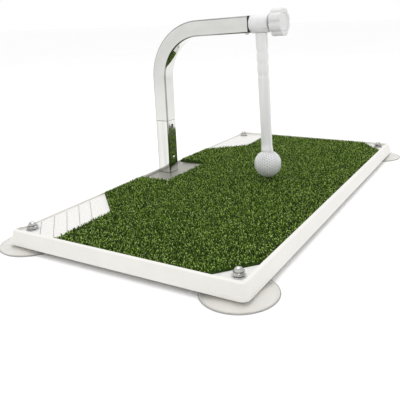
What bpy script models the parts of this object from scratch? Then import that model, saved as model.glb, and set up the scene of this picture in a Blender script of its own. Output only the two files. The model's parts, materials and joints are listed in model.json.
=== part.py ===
"""Golf swing trainer mat with a ball that swings all the way round on an arm.

A moulded tray stands on four suction cups and holds a piece of artificial turf. A square
steel post at the back carries a telescopic bent mast, locked by a snap button. A hub turns
on a bolt at the mast's front end, and a strap hangs the ball from it, just above the turf.

Units are metres, +Z is up. The origin is on the floor, midway between the four cups.
X runs along the tray, and -Y is the side where the player stands.
"""

import math

import bmesh
import bpy
from mathutils import Matrix, Vector

# ---------------------------------------------------------------- driving dimensions

GAP = 0.0003               # between pieces that touch

# tray
TRAY_LENGTH = 0.652        # X, at the rim
TRAY_DEPTH = 0.330         # Y, at the rim
TRAY_BOTTOM = 0.006        # height of the lower edge
RIM_TOP = 0.024
RIM_WIDTH = 0.0055
REAR_RIM_WIDTH = 0.002
REAR_RIM_DROP = 0.0025     # the rim is lower along the back
PAD_DROP = 0.0045          # corner pads below the rim
TURF_POCKET = 0.0035       # turf pocket below the pads
FLOOR_THICKNESS = 0.0025
WALL = 0.003
WALL_DRAFT = 0.005         # how far the wall spreads towards the floor
SKIRT_HEIGHT = 0.005       # band at the foot of the wall
SKIRT_STEP = 0.0008
CORNER_RADIUS = 0.005
RIM_ROUND = 0.0014
RIM_CHAMFER = 0.0005      # along the rim's inner edge
FOOT_ROUND = 0.001        # along the wall's lower edge
REAR_DIP_MARGIN = 0.012   # from the tray's ends to where the rear rim dips
REAR_DIP_RAMP = 0.008
RIB = 0.002
RIB_COLUMNS = 6
RIB_ROWS = 3
GROOVE_WIDTH = 0.0012
GROOVE_DEPTH = 0.0006
GROOVE_PITCH = 0.0231
GROOVE_COUNT = 5
GROOVE_MARGIN = 0.005      # from a groove's end to the pad's edge

# turf outline, measured from the tray's edges
REAR_PAD_DEPTH = 0.067
REAR_PAD_LENGTH = 0.1115
REAR_PAD_SLANT = 0.062
FRONT_PAD_LENGTH = 0.058
FRONT_PAD_DEPTH = 0.050
PILE_PROUD = 0.0005        # turf above the rim
TURF_CLEARANCE = 0.0005

# cups and their studs
STUD_SIDE_INSET = 0.022
STUD_FRONT_INSET = 0.0175
STUD_REAR_INSET = 0.0135
STUD_RADIUS = 0.004
STUD_HEAD_RADIUS = 0.007
STUD_HEAD_HEIGHT = 0.002
STUD_BLOCK = 0.0135        # half side of the block moulded round each stud
HOLE_CLEARANCE = 0.0003    # radial, between a hole and what passes through it
THREAD_CHAMFER = 0.0006    # at the tip of a stud, bolt or screw
CUP_RADIUS = 0.043
CUP_NECK_RADIUS = 0.0115
NECK_RECESS = 0.002        # how far the cup's neck enters the tray
CUP_WALL = 0.0016
CUP_LIP = 0.0012
CUP_SEAT = 0.003           # width of the flat ring that stands on the floor
CUP_DOME = 0.0056          # height of the cup's outer surface beside its neck
WASHER_RADIUS = 0.0083
WASHER_THICKNESS = 0.0008
NUT_ACROSS_FLATS = 0.013
NUT_HEX_HEIGHT = 0.0040
NUT_HEIGHT = 0.0092
NUT_DOME_RADIUS = 0.0056
NUT_CHAMFER = 0.0006
NUT_SHOULDER = 0.0002      # step between the hexagon and the dome

# plate and post
PLATE_WIDTH = 0.120
PLATE_DEPTH = 0.054
PLATE_THICKNESS = 0.002
PLATE_CORNER = 0.001
PLATE_SCREW_INSET = 0.009
PLATE_SCREW_RADIUS = 0.0025
PLATE_SCREW_HEAD = 0.0045
PLATE_SCREW_DRIVE = 0.0018   # radius of the driver recess
PLATE_SCREW_DRIVE_DEPTH = 0.0006
PLATE_SCREW_PROUD = 0.0004   # screw's tip below its nut
PLATE_NUT_ACROSS_FLATS = 0.008
PLATE_NUT_HEIGHT = 0.0032
TUBE_WIDTH = 0.025
TUBE_WALL = 0.0015
TUBE_CORNER = 0.0025
SMALLEST_CORNER = 0.0005   # inside a tube
POST_REAR_MARGIN = 0.002   # from the post to the plate's back edge
POST_TOP = 0.1095
HOLE_BOTTOM = 0.044        # height of the lowest height hole
HOLE_PITCH = 0.014
HOLE_COUNT = 5

# mast
INSERT_WALL = 0.0012
INSERT_BOTTOM = 0.0275
INSERT_TOP = 0.1435
BEND_RADIUS = 0.080        # of the tube's centre line
ARM_RISE = math.radians(2.5)
ARM_REACH = 0.1828         # from the post's centre to the hub's centre
HUB_HEIGHT = 0.2657        # of the hub's centre, mast at its lowest
PLUG_FLANGE = 0.0012
PLUG_DEPTH = 0.016
PLUG_SCREW_RADIUS = 0.002
PLUG_SCREW_HEAD = 0.0035
PLUG_SCREW_HEAD_EDGE = 0.0010   # height of the head's straight side
PLUG_SCREW_HEAD_HEIGHT = 0.0018
PLUG_SCREW_REACH = 0.0045  # into the plug
BUTTON_RADIUS = 0.003
BUTTON_PROUD = 0.0014
BUTTON_FLANGE_RADIUS = 0.0042
BUTTON_FLANGE = 0.001
LEAF_THICKNESS = 0.0008
LEAF_WIDTH = 0.009
LEAF_BEND = 0.0035         # radius
LEAF_DROP = 0.011          # from the button's axis down to the bend
LEAF_FRONT_RISE = 0.006    # from the button's axis up to the leaf's end
LEAF_BACK_RISE = 0.010

# hub, strap and ball
AXLE_RADIUS = 0.004
AXLE_HEAD_ACROSS_FLATS = 0.013
AXLE_HEAD_HEIGHT = 0.0053
HUB_RADIUS = 0.0137
HUB_LENGTH = 0.030
HUB_ROUND = 0.0012
BUSH_WALL = 0.002
BUSH_LENGTH = 0.010
BUSH_FLANGE_RADIUS = 0.0082
BUSH_FLANGE = 0.0015
STRAP_WIDTH = 0.0174
STRAP_TOP_THICKNESS = 0.0100
STRAP_END_THICKNESS = 0.0064
STRAP_NECK_STEPS = (0.041, 0.058, 0.076)   # waists below the hub's axis
STRAP_WAIST = 0.0008
STRAP_WAIST_REACH = 0.003  # from a waist to where the strap is full again
STRAP_FLARE = 0.0026       # how far the strap's end spreads, each side
STRAP_FLARE_LENGTH = 0.010
TONGUE_WIDTH = 0.013
TONGUE_THICKNESS = 0.007
TONGUE_CORNER = 0.0008
HUB_INNER_WALL = 0.0014    # between the hub's bore and the tongue's socket
SHAFT_START = 0.003        # from the hub's surface to the first full section
STRAP_PIN_RADIUS = 0.0012
STRAP_PIN_PROUD = 0.003    # pin behind the tongue
STRAP_PIN_DROP = 0.0002    # pin below the middle of the hub's lower wall
BALL_RADIUS = 0.02135
BALL_CLEARANCE = 0.005     # from the ball to the turf, mast at its lowest
TANG_RADIUS = 0.0042
TANG_LENGTH = 0.013
BALL_SCREW_RADIUS = 0.0016
BALL_SCREW_HEAD = 0.0034
BALL_SCREW_HEAD_HEIGHT = 0.0024
BALL_SCREW_HEAD_ROUND = 0.001
BALL_SCREW_SINK = 0.0052   # from the ball's lowest point to the screw head's seat
BALL_SCREW_REACH = 0.008   # into the strap's tang

# knob
FRONT_WASHER_RADIUS = 0.0105
FRONT_WASHER_THICKNESS = 0.0015
KNOB_RADIUS = 0.0205
KNOB_LOBES = 8
KNOB_LOBE_DEPTH = 0.0019
KNOB_THICKNESS = 0.0185
KNOB_REAR_ROUND = 0.002
KNOB_FRONT_ROUND = 0.0022
KNOB_NECK_RADIUS = 0.0108
KNOB_NECK_LENGTH = 0.0030
KNOB_INSERT_WALL = 0.0022
KNOB_CAP_RADIUS = 0.0128
KNOB_CAP_THICKNESS = 0.0022
KNOB_CAP_SINK = 0.0006     # cap below the knob's front face
KNOB_CAP_ROUND = 0.0005
AXLE_END_GAP = 0.002       # from the bolt's end to the cap

# ---------------------------------------------------------------- derived positions

HALF_LENGTH = TRAY_LENGTH / 2
STUD_X = HALF_LENGTH - STUD_SIDE_INSET
STUD_Y = (TRAY_DEPTH - STUD_FRONT_INSET - STUD_REAR_INSET) / 2
FRONT_Y = -STUD_Y - STUD_FRONT_INSET
REAR_Y = STUD_Y + STUD_REAR_INSET
PAD_TOP = RIM_TOP - PAD_DROP
POCKET_FLOOR = PAD_TOP - TURF_POCKET
WEB_UNDERSIDE = POCKET_FLOOR - FLOOR_THICKNESS
STUDS = [(sx * STUD_X, sy * STUD_Y) for sy in (-1, 1) for sx in (-1, 1)]
CORNERS = ["front_left", "front_right", "rear_left", "rear_right"]

RECESS_REAR = REAR_Y - REAR_RIM_WIDTH
PLATE_REAR = RECESS_REAR - GAP
PLATE_Y = PLATE_REAR - PLATE_DEPTH / 2
PLATE_TOP = POCKET_FLOOR + GAP + PLATE_THICKNESS
MAST_Y = PLATE_REAR - POST_REAR_MARGIN - TUBE_WIDTH / 2
INSERT_WIDTH = TUBE_WIDTH - 2 * TUBE_WALL - 2 * GAP
HUB_CENTRE = Vector((0, MAST_Y - ARM_REACH, HUB_HEIGHT))
FORWARD = Vector((0, -math.cos(ARM_RISE), math.sin(ARM_RISE)))

TURF_TOP = RIM_TOP + PILE_PROUD
BALL_DROP = HUB_HEIGHT - TURF_TOP - BALL_CLEARANCE - BALL_RADIUS
BALL_DISTANCE = BALL_DROP / math.cos(ARM_RISE)

# stations along the arm's axis, counted forward from the hub's centre
HUB_REAR = -HUB_LENGTH / 2
HUB_FRONT = HUB_LENGTH / 2
TUBE_END = HUB_REAR - 2 * GAP - PLUG_FLANGE
WASHER_FRONT = HUB_FRONT + GAP + FRONT_WASHER_THICKNESS
KNOB_REAR = WASHER_FRONT + GAP
KNOB_BODY = KNOB_REAR + KNOB_NECK_LENGTH
KNOB_FRONT = KNOB_BODY + KNOB_THICKNESS
CAP_REAR = KNOB_FRONT - KNOB_CAP_THICKNESS
AXLE_END = CAP_REAR - AXLE_END_GAP
SEGMENTS = 28
CUTTER_REACH = 0.002       # how far a cutter runs past what it cuts

for old in list(bpy.data.objects):
    bpy.data.objects.remove(old, do_unlink=True)


# ---------------------------------------------------------------- materials

def material(name, colour, roughness, metallic=0.0):
    made = bpy.data.materials.new(name)
    made.use_nodes = True
    shader = made.node_tree.nodes["Principled BSDF"]
    shader.inputs["Base Color"].default_value = (*colour, 1.0)
    shader.inputs["Roughness"].default_value = roughness
    shader.inputs["Metallic"].default_value = metallic
    return made


def clear(made, transmission):
    made.node_tree.nodes["Principled BSDF"].inputs["Transmission Weight"].default_value = transmission
    return made


WHITE_PLASTIC = material("white_plastic", (0.86, 0.86, 0.84), 0.35)
GREY_PLASTIC = material("pale_grey_plastic", (0.80, 0.80, 0.79), 0.45)
BLACK_PLASTIC = material("black_plastic", (0.02, 0.02, 0.02), 0.5)
TURF = material("turf", (0.06, 0.14, 0.025), 0.95)
BRUSHED_STEEL = material("brushed_steel", (0.62, 0.60, 0.57), 0.4, 1.0)
CHROME = material("chrome", (0.86, 0.87, 0.88), 0.06, 1.0)
ZINC = material("zinc", (0.66, 0.67, 0.68), 0.35, 1.0)
BRASS = material("brass", (0.70, 0.55, 0.25), 0.35, 1.0)
NYLON = material("nylon", (0.83, 0.82, 0.76), 0.5)
BALL_WHITE = material("ball_white", (0.85, 0.85, 0.84), 0.3)
CLEAR_PVC = clear(material("clear_pvc", (0.90, 0.89, 0.86), 0.15), 0.9)


# ---------------------------------------------------------------- mesh helpers

def finish(name, mesh, surface, sharp_degrees=35):
    """An object of its own, with faces out, shaded smooth up to the sharp angle."""
    bmesh.ops.recalc_face_normals(mesh, faces=mesh.faces)
    data = bpy.data.meshes.new(name)
    mesh.to_mesh(data)
    mesh.free()
    data.materials.append(surface)
    data.shade_smooth()
    data.set_sharp_from_angle(angle=math.radians(sharp_degrees))
    made = bpy.data.objects.new(name, data)
    bpy.context.collection.objects.link(made)
    return made


def rounded_rectangle(half_x, half_y, radius, steps=3):
    """Corner points of a rounded rectangle, anticlockwise."""
    points = []
    for corner, (sx, sy) in enumerate([(1, 1), (-1, 1), (-1, -1), (1, -1)]):
        for step in range(steps + 1):
            angle = math.pi / 2 * (corner + step / steps)
            x = sx * (half_x - radius) + radius * math.cos(angle)
            y = sy * (half_y - radius) + radius * math.sin(angle)
            points.append((x, y))
    return points


def circle(radius, count=SEGMENTS, phase=0.0):
    """Points of a circle. The phase is a share of one step between points."""
    angles = [2 * math.pi * (i + phase) / count for i in range(count)]
    return [(radius * math.cos(angle), radius * math.sin(angle)) for angle in angles]


def hexagonal_ring(flat, limit, count):
    """A ring of points on a hexagon, never further out than the limit."""
    ring = []
    for i in range(count):
        angle = 2 * math.pi * i / count
        from_flat = (angle + math.pi / 6) % (math.pi / 3) - math.pi / 6
        reach = min(limit, flat / math.cos(from_flat))
        ring.append((reach * math.cos(angle), reach * math.sin(angle)))
    return ring


def offset(outline, distance):
    """An anticlockwise outline moved outwards by a distance, with mitred corners."""
    moved = []
    for i, here in enumerate(outline):
        before = Vector(outline[i - 1])
        point = Vector(here)
        after = Vector(outline[(i + 1) % len(outline)])
        first = (point - before).normalized()
        second = (after - point).normalized()
        normal_a = Vector((first.y, -first.x))
        normal_b = Vector((second.y, -second.x))
        mitre = (normal_a + normal_b) / (1 + normal_a.dot(normal_b))
        moved.append(tuple(point + mitre * distance))
    return moved


def add_loft(mesh, rings):
    """A closed body through rings of 3-D points, capped at both ends."""
    loops = [[mesh.verts.new(point) for point in ring] for ring in rings]
    for low, high in zip(loops, loops[1:]):
        for i in range(len(low)):
            j = (i + 1) % len(low)
            mesh.faces.new((low[i], low[j], high[j], high[i]))
    mesh.faces.new(reversed(loops[0]))
    mesh.faces.new(loops[-1])
    return mesh


def add_prism(mesh, outline, low, high, place=Matrix.Identity(4)):
    rings = [[place @ Vector((x, y, z)) for x, y in outline] for z in (low, high)]
    return add_loft(mesh, rings)


def add_turned(mesh, profile, place=Matrix.Identity(4), count=SEGMENTS):
    """A body turned about Z from a closed profile of (radius, height) points."""
    rings = []
    for radius, height in profile:
        if radius == 0:
            rings.append([mesh.verts.new(place @ Vector((0, 0, height)))])
        else:
            rings.append([mesh.verts.new(place @ Vector((x, y, height))) for x, y in circle(radius, count)])
    for a, b in zip(rings, rings[1:] + rings[:1]):
        if len(a) == 1 and len(b) == 1:
            continue
        for i in range(count):
            j = (i + 1) % count
            corners = [a[i % len(a)], a[j % len(a)], b[j % len(b)], b[i % len(b)]]
            mesh.faces.new(list(dict.fromkeys(corners)))
    return mesh


def at(x, y, z=0.0):
    return Matrix.Translation((x, y, z))


def cut(target, name, mesh):
    """Cuts a closed mesh out of the target with a Boolean modifier."""
    cutter = finish(name, mesh, target.data.materials[0])
    cutter.hide_render = True
    cutter.display_type = "WIRE"
    cutter.parent = target.parent
    cutter.location = target.location
    modifier = target.modifiers.new(name, "BOOLEAN")
    modifier.operation = "DIFFERENCE"
    modifier.solver = "EXACT"
    modifier.object = cutter


# Local +Z of an arm piece points forward along the arm's axis, and its local +Y points up.
ALONG_ARM = Matrix(((1, 0, 0), (0, 0, -1), (0, 1, 0))).to_4x4()

# Local +Z of a piece that faces the player points along -Y.
FACING_FRONT = Matrix.Rotation(math.radians(90), 4, "X")


def frame_empty(name, location, tilt=0.0):
    made = bpy.data.objects.new(name, None)
    made.location = location
    made.rotation_euler = (tilt, 0, 0)
    bpy.context.collection.objects.link(made)
    return made


# ---------------------------------------------------------------- tray and turf

def turf_outline():
    """Outline of the turf pocket, anticlockwise, from the front left corner."""
    side = HALF_LENGTH - RIM_WIDTH
    front = FRONT_Y + RIM_WIDTH
    right = [
        (HALF_LENGTH - FRONT_PAD_LENGTH, front),
        (side, FRONT_Y + FRONT_PAD_DEPTH),
        (side, REAR_Y - REAR_PAD_DEPTH),
        (HALF_LENGTH - REAR_PAD_LENGTH, REAR_Y - REAR_PAD_DEPTH),
        (HALF_LENGTH - REAR_PAD_LENGTH - REAR_PAD_SLANT, RECESS_REAR),
    ]
    left = [(-x, y) for x, y in reversed(right)]
    return right + left


def tray_ring(height, spread):
    """The tray's rounded outline at a height, spread outwards from the rim's."""
    middle = (FRONT_Y + REAR_Y) / 2
    outline = rounded_rectangle(
        HALF_LENGTH + spread, TRAY_DEPTH / 2 + spread, CORNER_RADIUS + spread, 5)
    return [(x, y + middle, height) for x, y in outline]


def underside_cells():
    """Hollows under the floor. The ribs and the blocks round the studs stay between them."""
    left = -HALF_LENGTH + WALL
    front = FRONT_Y + WALL
    step_x = (TRAY_LENGTH - 2 * WALL + RIB) / RIB_COLUMNS
    step_y = (TRAY_DEPTH - 2 * WALL + RIB) / RIB_ROWS
    block_x = STUD_X - STUD_BLOCK
    block_front = -STUD_Y + STUD_BLOCK
    block_rear = STUD_Y - STUD_BLOCK
    for column in range(RIB_COLUMNS):
        for row in range(RIB_ROWS):
            x0 = left + column * step_x
            x1 = x0 + step_x - RIB
            y0 = front + row * step_y
            y1 = y0 + step_y - RIB
            outline = [(x0, y0), (x1, y0), (x1, y1), (x0, y1)]
            at_left = column == 0
            at_right = column == RIB_COLUMNS - 1
            if row == 0 and at_left:
                outline[0:1] = [(x0, block_front), (-block_x, block_front), (-block_x, y0)]
            if row == 0 and at_right:
                outline[1:2] = [(block_x, y0), (block_x, block_front), (x1, block_front)]
            if row == RIB_ROWS - 1 and at_right:
                outline[2:3] = [(x1, block_rear), (block_x, block_rear), (block_x, y1)]
            if row == RIB_ROWS - 1 and at_left:
                outline[3:4] = [(-block_x, y1), (-block_x, block_rear), (x0, block_rear)]
            yield outline


def groove_strips(side):
    """Slanting grooves of one rear pad, at 45 degrees, each stopped short of the pad's edges."""
    low_y = REAR_Y - REAR_PAD_DEPTH + GROOVE_MARGIN
    high_y = RECESS_REAR - GROOVE_MARGIN / 2
    limit_x = HALF_LENGTH - RIM_WIDTH - GROOVE_MARGIN
    first = HALF_LENGTH - REAR_PAD_LENGTH - REAR_PAD_SLANT / 2 + GROOVE_MARGIN
    half = GROOVE_WIDTH / 2
    for index in range(GROOVE_COUNT):
        x = first + index * GROOVE_PITCH
        run = min(high_y - low_y, limit_x - x)
        outline = [
            (x - half, high_y), (x + run - half, high_y - run),
            (x + run + half, high_y - run), (x + half, high_y)]
        if side < 0:
            outline = [(-px, py) for px, py in reversed(outline)]
        yield outline


def make_tray():
    rings = [
        tray_ring(TRAY_BOTTOM, WALL_DRAFT - FOOT_ROUND),
        tray_ring(TRAY_BOTTOM + FOOT_ROUND, WALL_DRAFT),
        tray_ring(TRAY_BOTTOM + SKIRT_HEIGHT, WALL_DRAFT - SKIRT_STEP),
        tray_ring(TRAY_BOTTOM + SKIRT_HEIGHT + SKIRT_STEP, WALL_DRAFT - 2 * SKIRT_STEP),
        tray_ring(RIM_TOP - RIM_ROUND, 0.0),
        tray_ring(RIM_TOP - RIM_ROUND * 0.3, -RIM_ROUND * 0.3),
        tray_ring(RIM_TOP, -RIM_ROUND),
    ]
    tray = finish("base_tray", add_loft(bmesh.new(), rings), WHITE_PLASTIC)

    inside = [
        (-HALF_LENGTH + RIM_WIDTH, FRONT_Y + RIM_WIDTH),
        (HALF_LENGTH - RIM_WIDTH, FRONT_Y + RIM_WIDTH),
        (HALF_LENGTH - RIM_WIDTH, RECESS_REAR),
        (-HALF_LENGTH + RIM_WIDTH, RECESS_REAR),
    ]
    above = RIM_TOP + CUTTER_REACH
    levels = [
        (PAD_TOP, 0.0), (RIM_TOP - RIM_CHAMFER, 0.0), (RIM_TOP, RIM_CHAMFER), (above, RIM_CHAMFER)]
    recess = [[(x, y, z) for x, y in offset(inside, spread)] for z, spread in levels]
    cut(tray, "recess_cutter", add_loft(bmesh.new(), recess))

    pockets = add_prism(bmesh.new(), turf_outline(), POCKET_FLOOR, above)
    cut(tray, "turf_pocket_cutter", pockets)

    # the rear rim dips between two short ramps
    dip_end = HALF_LENGTH - REAR_DIP_MARGIN
    dip_floor = dip_end - REAR_DIP_RAMP
    dip = [
        (-dip_end, 0.0), (-dip_floor, -REAR_RIM_DROP), (dip_floor, -REAR_RIM_DROP),
        (dip_end, 0.0), (dip_end, CUTTER_REACH), (-dip_end, CUTTER_REACH)]
    dip_sides = (REAR_Y + 2 * CUTTER_REACH, RECESS_REAR - 2 * CUTTER_REACH)
    rings = [[(x, y, RIM_TOP + z) for x, z in dip] for y in dip_sides]
    cut(tray, "rear_rim_cutter", add_loft(bmesh.new(), rings))

    cells = bmesh.new()
    for outline in underside_cells():
        add_prism(cells, outline, TRAY_BOTTOM - CUTTER_REACH, WEB_UNDERSIDE)
    cut(tray, "underside_cutter", cells)

    holes = bmesh.new()
    bore = STUD_RADIUS + HOLE_CLEARANCE
    neck = CUP_NECK_RADIUS + HOLE_CLEARANCE
    below = TRAY_BOTTOM - CUTTER_REACH
    neck_seat = TRAY_BOTTOM + NECK_RECESS
    for x, y in STUDS:
        add_turned(holes, [(0, below), (neck, below), (neck, neck_seat), (bore, neck_seat), (bore, RIM_TOP),
                           (0, RIM_TOP)], at(x, y), 20)
    for x, y in plate_screw_positions():
        add_prism(holes, circle(PLATE_SCREW_RADIUS + HOLE_CLEARANCE, 16), WEB_UNDERSIDE - CUTTER_REACH,
                  POCKET_FLOOR + CUTTER_REACH, at(x, y))
    cut(tray, "hole_cutter", holes)

    grooves = bmesh.new()
    for side in (-1, 1):
        for outline in groove_strips(side):
            add_prism(grooves, outline, PAD_TOP - GROOVE_DEPTH, PAD_TOP + CUTTER_REACH)
    cut(tray, "groove_cutter", grooves)
    return tray


def make_turf():
    """The turf fills its pocket and is notched round the mast's plate."""
    half = PLATE_WIDTH / 2 + TURF_CLEARANCE
    front = PLATE_REAR - PLATE_DEPTH - TURF_CLEARANCE
    outline = offset(turf_outline(), -TURF_CLEARANCE)
    rear = outline[4][1]
    outline[5:5] = [(half, rear), (half, front), (-half, front), (-half, rear)]
    finish("turf_mat", add_prism(bmesh.new(), outline, POCKET_FLOOR + GAP, TURF_TOP), TURF)


# ---------------------------------------------------------------- cups and their fasteners

def make_cups():
    neck_top = TRAY_BOTTOM + NECK_RECESS - GAP
    head_low = CUP_DOME - CUP_WALL
    pocket = STUD_HEAD_RADIUS + HOLE_CLEARANCE
    bore = STUD_RADIUS + HOLE_CLEARANCE
    head_room = head_low + STUD_HEAD_HEIGHT + 2 * GAP
    profile = [
        (CUP_RADIUS, 0.0), (CUP_RADIUS, CUP_LIP), (CUP_RADIUS * 0.80, CUP_DOME * 0.40),
        (CUP_RADIUS * 0.50, CUP_DOME * 0.86), (CUP_NECK_RADIUS, CUP_DOME), (CUP_NECK_RADIUS, neck_top),
        (bore, neck_top), (bore, head_room), (pocket, head_room), (pocket, head_low), (0, head_low),
        (0, head_low - CUP_WALL), (CUP_RADIUS * 0.50, CUP_DOME * 0.86 - CUP_WALL),
        (CUP_RADIUS * 0.80, CUP_DOME * 0.40 - CUP_WALL), (CUP_RADIUS - CUP_SEAT, 0.0)]
    at_corners("suction_cup", finish("suction_cup", add_turned(bmesh.new(), profile, count=32), CLEAR_PVC))

    head_low += GAP
    nut_low = PAD_TOP + 2 * GAP + WASHER_THICKNESS
    stud_top = nut_low + NUT_HEX_HEIGHT
    stud = add_turned(bmesh.new(), [
        (0, head_low), (STUD_HEAD_RADIUS, head_low), (STUD_HEAD_RADIUS, head_low + STUD_HEAD_HEIGHT),
        (STUD_RADIUS, head_low + STUD_HEAD_HEIGHT), (STUD_RADIUS, stud_top - THREAD_CHAMFER),
        (STUD_RADIUS - THREAD_CHAMFER, stud_top), (0, stud_top)], count=16)
    at_corners("cup_stud", finish("cup_stud", stud, ZINC))

    washer_low = PAD_TOP + GAP
    washer_top = washer_low + WASHER_THICKNESS
    washer = add_turned(bmesh.new(), [
        (bore, washer_low), (WASHER_RADIUS, washer_low), (WASHER_RADIUS, washer_top), (bore, washer_top)],
        count=20)
    at_corners("cup_washer", finish("cup_washer", washer, ZINC))
    at_corners("acorn_nut", finish("acorn_nut", acorn_nut(nut_low, stud_top), CHROME))


def at_corners(name, first):
    """Puts one copy of a piece at each stud."""
    repeat(first, [f"{name}_{corner}" for corner in CORNERS], STUDS)


def repeat(first, names, places):
    """Copies of an object that share its mesh, each under its own name and at its own place."""
    for name, (x, y) in zip(names, places):
        copy = first.copy()
        copy.name = name
        copy.location = (x, y, 0)
        bpy.context.collection.objects.link(copy)
    bpy.data.objects.remove(first)


def acorn_nut(low, stud_top):
    """A cap nut: a hexagon, a dome on it, and a blind bore from below."""
    count = 18
    flat = NUT_ACROSS_FLATS / 2
    corner = flat / math.cos(math.pi / 6)
    shoulder = low + NUT_HEX_HEIGHT
    top = low + NUT_HEIGHT
    bore = STUD_RADIUS + HOLE_CLEARANCE
    rings = [
        (circle(bore, count), stud_top + GAP),
        (circle(bore, count), low),
        (hexagonal_ring(flat, corner, count), low),
        (hexagonal_ring(flat, corner, count), shoulder - NUT_CHAMFER),
        (hexagonal_ring(flat, flat, count), shoulder),
        (circle(NUT_DOME_RADIUS, count), shoulder + NUT_SHOULDER),
    ]
    dome_low = shoulder + NUT_SHOULDER
    rise = top - dome_low
    for turn in (0.45, 0.9, 1.3):
        rings.append((circle(NUT_DOME_RADIUS * math.cos(turn), count), dome_low + rise * math.sin(turn)))
    return add_loft(bmesh.new(), [[(x, y, z) for x, y in ring] for ring, z in rings])


# ---------------------------------------------------------------- plate and post

def plate_screw_positions():
    x = PLATE_WIDTH / 2 - PLATE_SCREW_INSET
    y = PLATE_DEPTH / 2 - PLATE_SCREW_INSET
    return [(sx * x, PLATE_Y + sy * y) for sy in (-1, 1) for sx in (-1, 1)]


def make_plate():
    bottom = POCKET_FLOOR + GAP
    outline = [(x, y + PLATE_Y) for x, y in rounded_rectangle(PLATE_WIDTH / 2, PLATE_DEPTH / 2, PLATE_CORNER)]
    plate = finish("mast_plate", add_prism(bmesh.new(), outline, bottom, PLATE_TOP), BRUSHED_STEEL)

    sink = PLATE_SCREW_HEAD - PLATE_SCREW_RADIUS
    shank = PLATE_SCREW_RADIUS
    head = PLATE_SCREW_HEAD
    nut_top = WEB_UNDERSIDE - GAP
    nut_low = nut_top - PLATE_NUT_HEIGHT
    tip = nut_low - PLATE_SCREW_PROUD
    room = HOLE_CLEARANCE
    neck = PLATE_TOP - sink * 0.7
    below = bottom - CUTTER_REACH
    above = PLATE_TOP + CUTTER_REACH
    holes = bmesh.new()
    for x, y in plate_screw_positions():
        add_turned(holes, [
            (0, below), (shank + room, below), (shank + room, neck), (head + room, PLATE_TOP),
            (head + room, above), (0, above)], at(x, y), 16)
    cut(plate, "plate_hole_cutter", holes)

    drive_floor = PLATE_TOP - PLATE_SCREW_DRIVE_DEPTH
    screw = add_turned(bmesh.new(), [
        (0, tip), (shank, tip), (shank, neck), (head, PLATE_TOP), (PLATE_SCREW_DRIVE, PLATE_TOP),
        (PLATE_SCREW_DRIVE / 2, drive_floor), (0, drive_floor)], count=16)
    nut = hex_nut(PLATE_NUT_ACROSS_FLATS, shank + room, nut_low, nut_top)
    numbers = range(1, 5)
    places = plate_screw_positions()
    repeat(finish("plate_screw", screw, ZINC), [f"plate_screw_{n}" for n in numbers], places)
    repeat(finish("plate_nut", nut, ZINC), [f"plate_nut_{n}" for n in numbers], places)


def hex_nut(across_flats, bore, low, high):
    """A hexagon nut whose bore ring has as many points as its outside."""
    flat = across_flats / 2
    count = 12
    outer = hexagonal_ring(flat, flat * 2, count)
    inner = circle(bore, count)
    mesh = bmesh.new()
    loops = [[mesh.verts.new((x, y, z)) for x, y in ring]
             for ring, z in ((inner, low), (outer, low), (outer, high), (inner, high))]
    for a, b in zip(loops, loops[1:] + loops[:1]):
        for i in range(count):
            j = (i + 1) % count
            mesh.faces.new((a[i], a[j], b[j], b[i]))
    return mesh


def add_tube(mesh, frames, width, wall, corner):
    """A square tube through frames of (centre, across, outward), open at both ends."""
    outer = rounded_rectangle(width / 2, width / 2, corner)
    inner_corner = max(corner - wall, SMALLEST_CORNER)
    inner = rounded_rectangle(width / 2 - wall, width / 2 - wall, inner_corner)
    skins = []
    for outline in (outer, inner):
        skins.append([[mesh.verts.new(centre + across * u + outward * v) for u, v in outline]
                      for centre, across, outward in frames])
    count = len(outer)
    for skin in skins:
        for a, b in zip(skin, skin[1:]):
            for i in range(count):
                j = (i + 1) % count
                mesh.faces.new((a[i], a[j], b[j], b[i]))
    for end in (0, -1):
        a, b = skins[0][end], skins[1][end]
        for i in range(count):
            j = (i + 1) % count
            mesh.faces.new((a[i], a[j], b[j], b[i]))
    return mesh


def upright(low, high):
    across = Vector((1, 0, 0))
    back = Vector((0, 1, 0))
    return [(Vector((0, 0, z)), across, back) for z in (low, high)]


def hole_heights():
    return [HOLE_BOTTOM + HOLE_PITCH * i for i in range(HOLE_COUNT)]


def make_post():
    bottom = PLATE_TOP + GAP
    mesh = add_tube(bmesh.new(), upright(bottom, POST_TOP), TUBE_WIDTH, TUBE_WALL, TUBE_CORNER)
    post = finish("lower_post", mesh, CHROME)
    post.location = (0, MAST_Y, 0)
    holes = bmesh.new()
    radius = BUTTON_RADIUS + HOLE_CLEARANCE
    for height in hole_heights():
        add_prism(holes, circle(radius, 16), TUBE_WIDTH / 4, TUBE_WIDTH, at(0, 0, height) @ FACING_FRONT)
    cut(post, "height_hole_cutter", holes)


# ---------------------------------------------------------------- mast

def mast_frames():
    """Frames of the bent tube, from the joint line up and round to the arm's end."""
    across = Vector((1, 0, 0))
    turn = math.pi / 2 - ARM_RISE
    hub = HUB_CENTRE - Vector((0, MAST_Y, 0))
    bend_y = -BEND_RADIUS
    arc_end_y = bend_y + BEND_RADIUS * math.cos(turn)
    line_z = hub.z - (arc_end_y - hub.y) * math.tan(ARM_RISE)
    bend_z = line_z - BEND_RADIUS * math.sin(turn)
    frames = [(Vector((0, 0, POST_TOP + GAP)), across, Vector((0, 1, 0)))]
    steps = 12
    for step in range(steps + 1):
        angle = turn * step / steps
        outward = Vector((0, math.cos(angle), math.sin(angle)))
        frames.append((Vector((0, bend_y, bend_z)) + outward * BEND_RADIUS, across, outward))
    frames.append((hub + FORWARD * TUBE_END, across, frames[-1][2]))
    return frames


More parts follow.
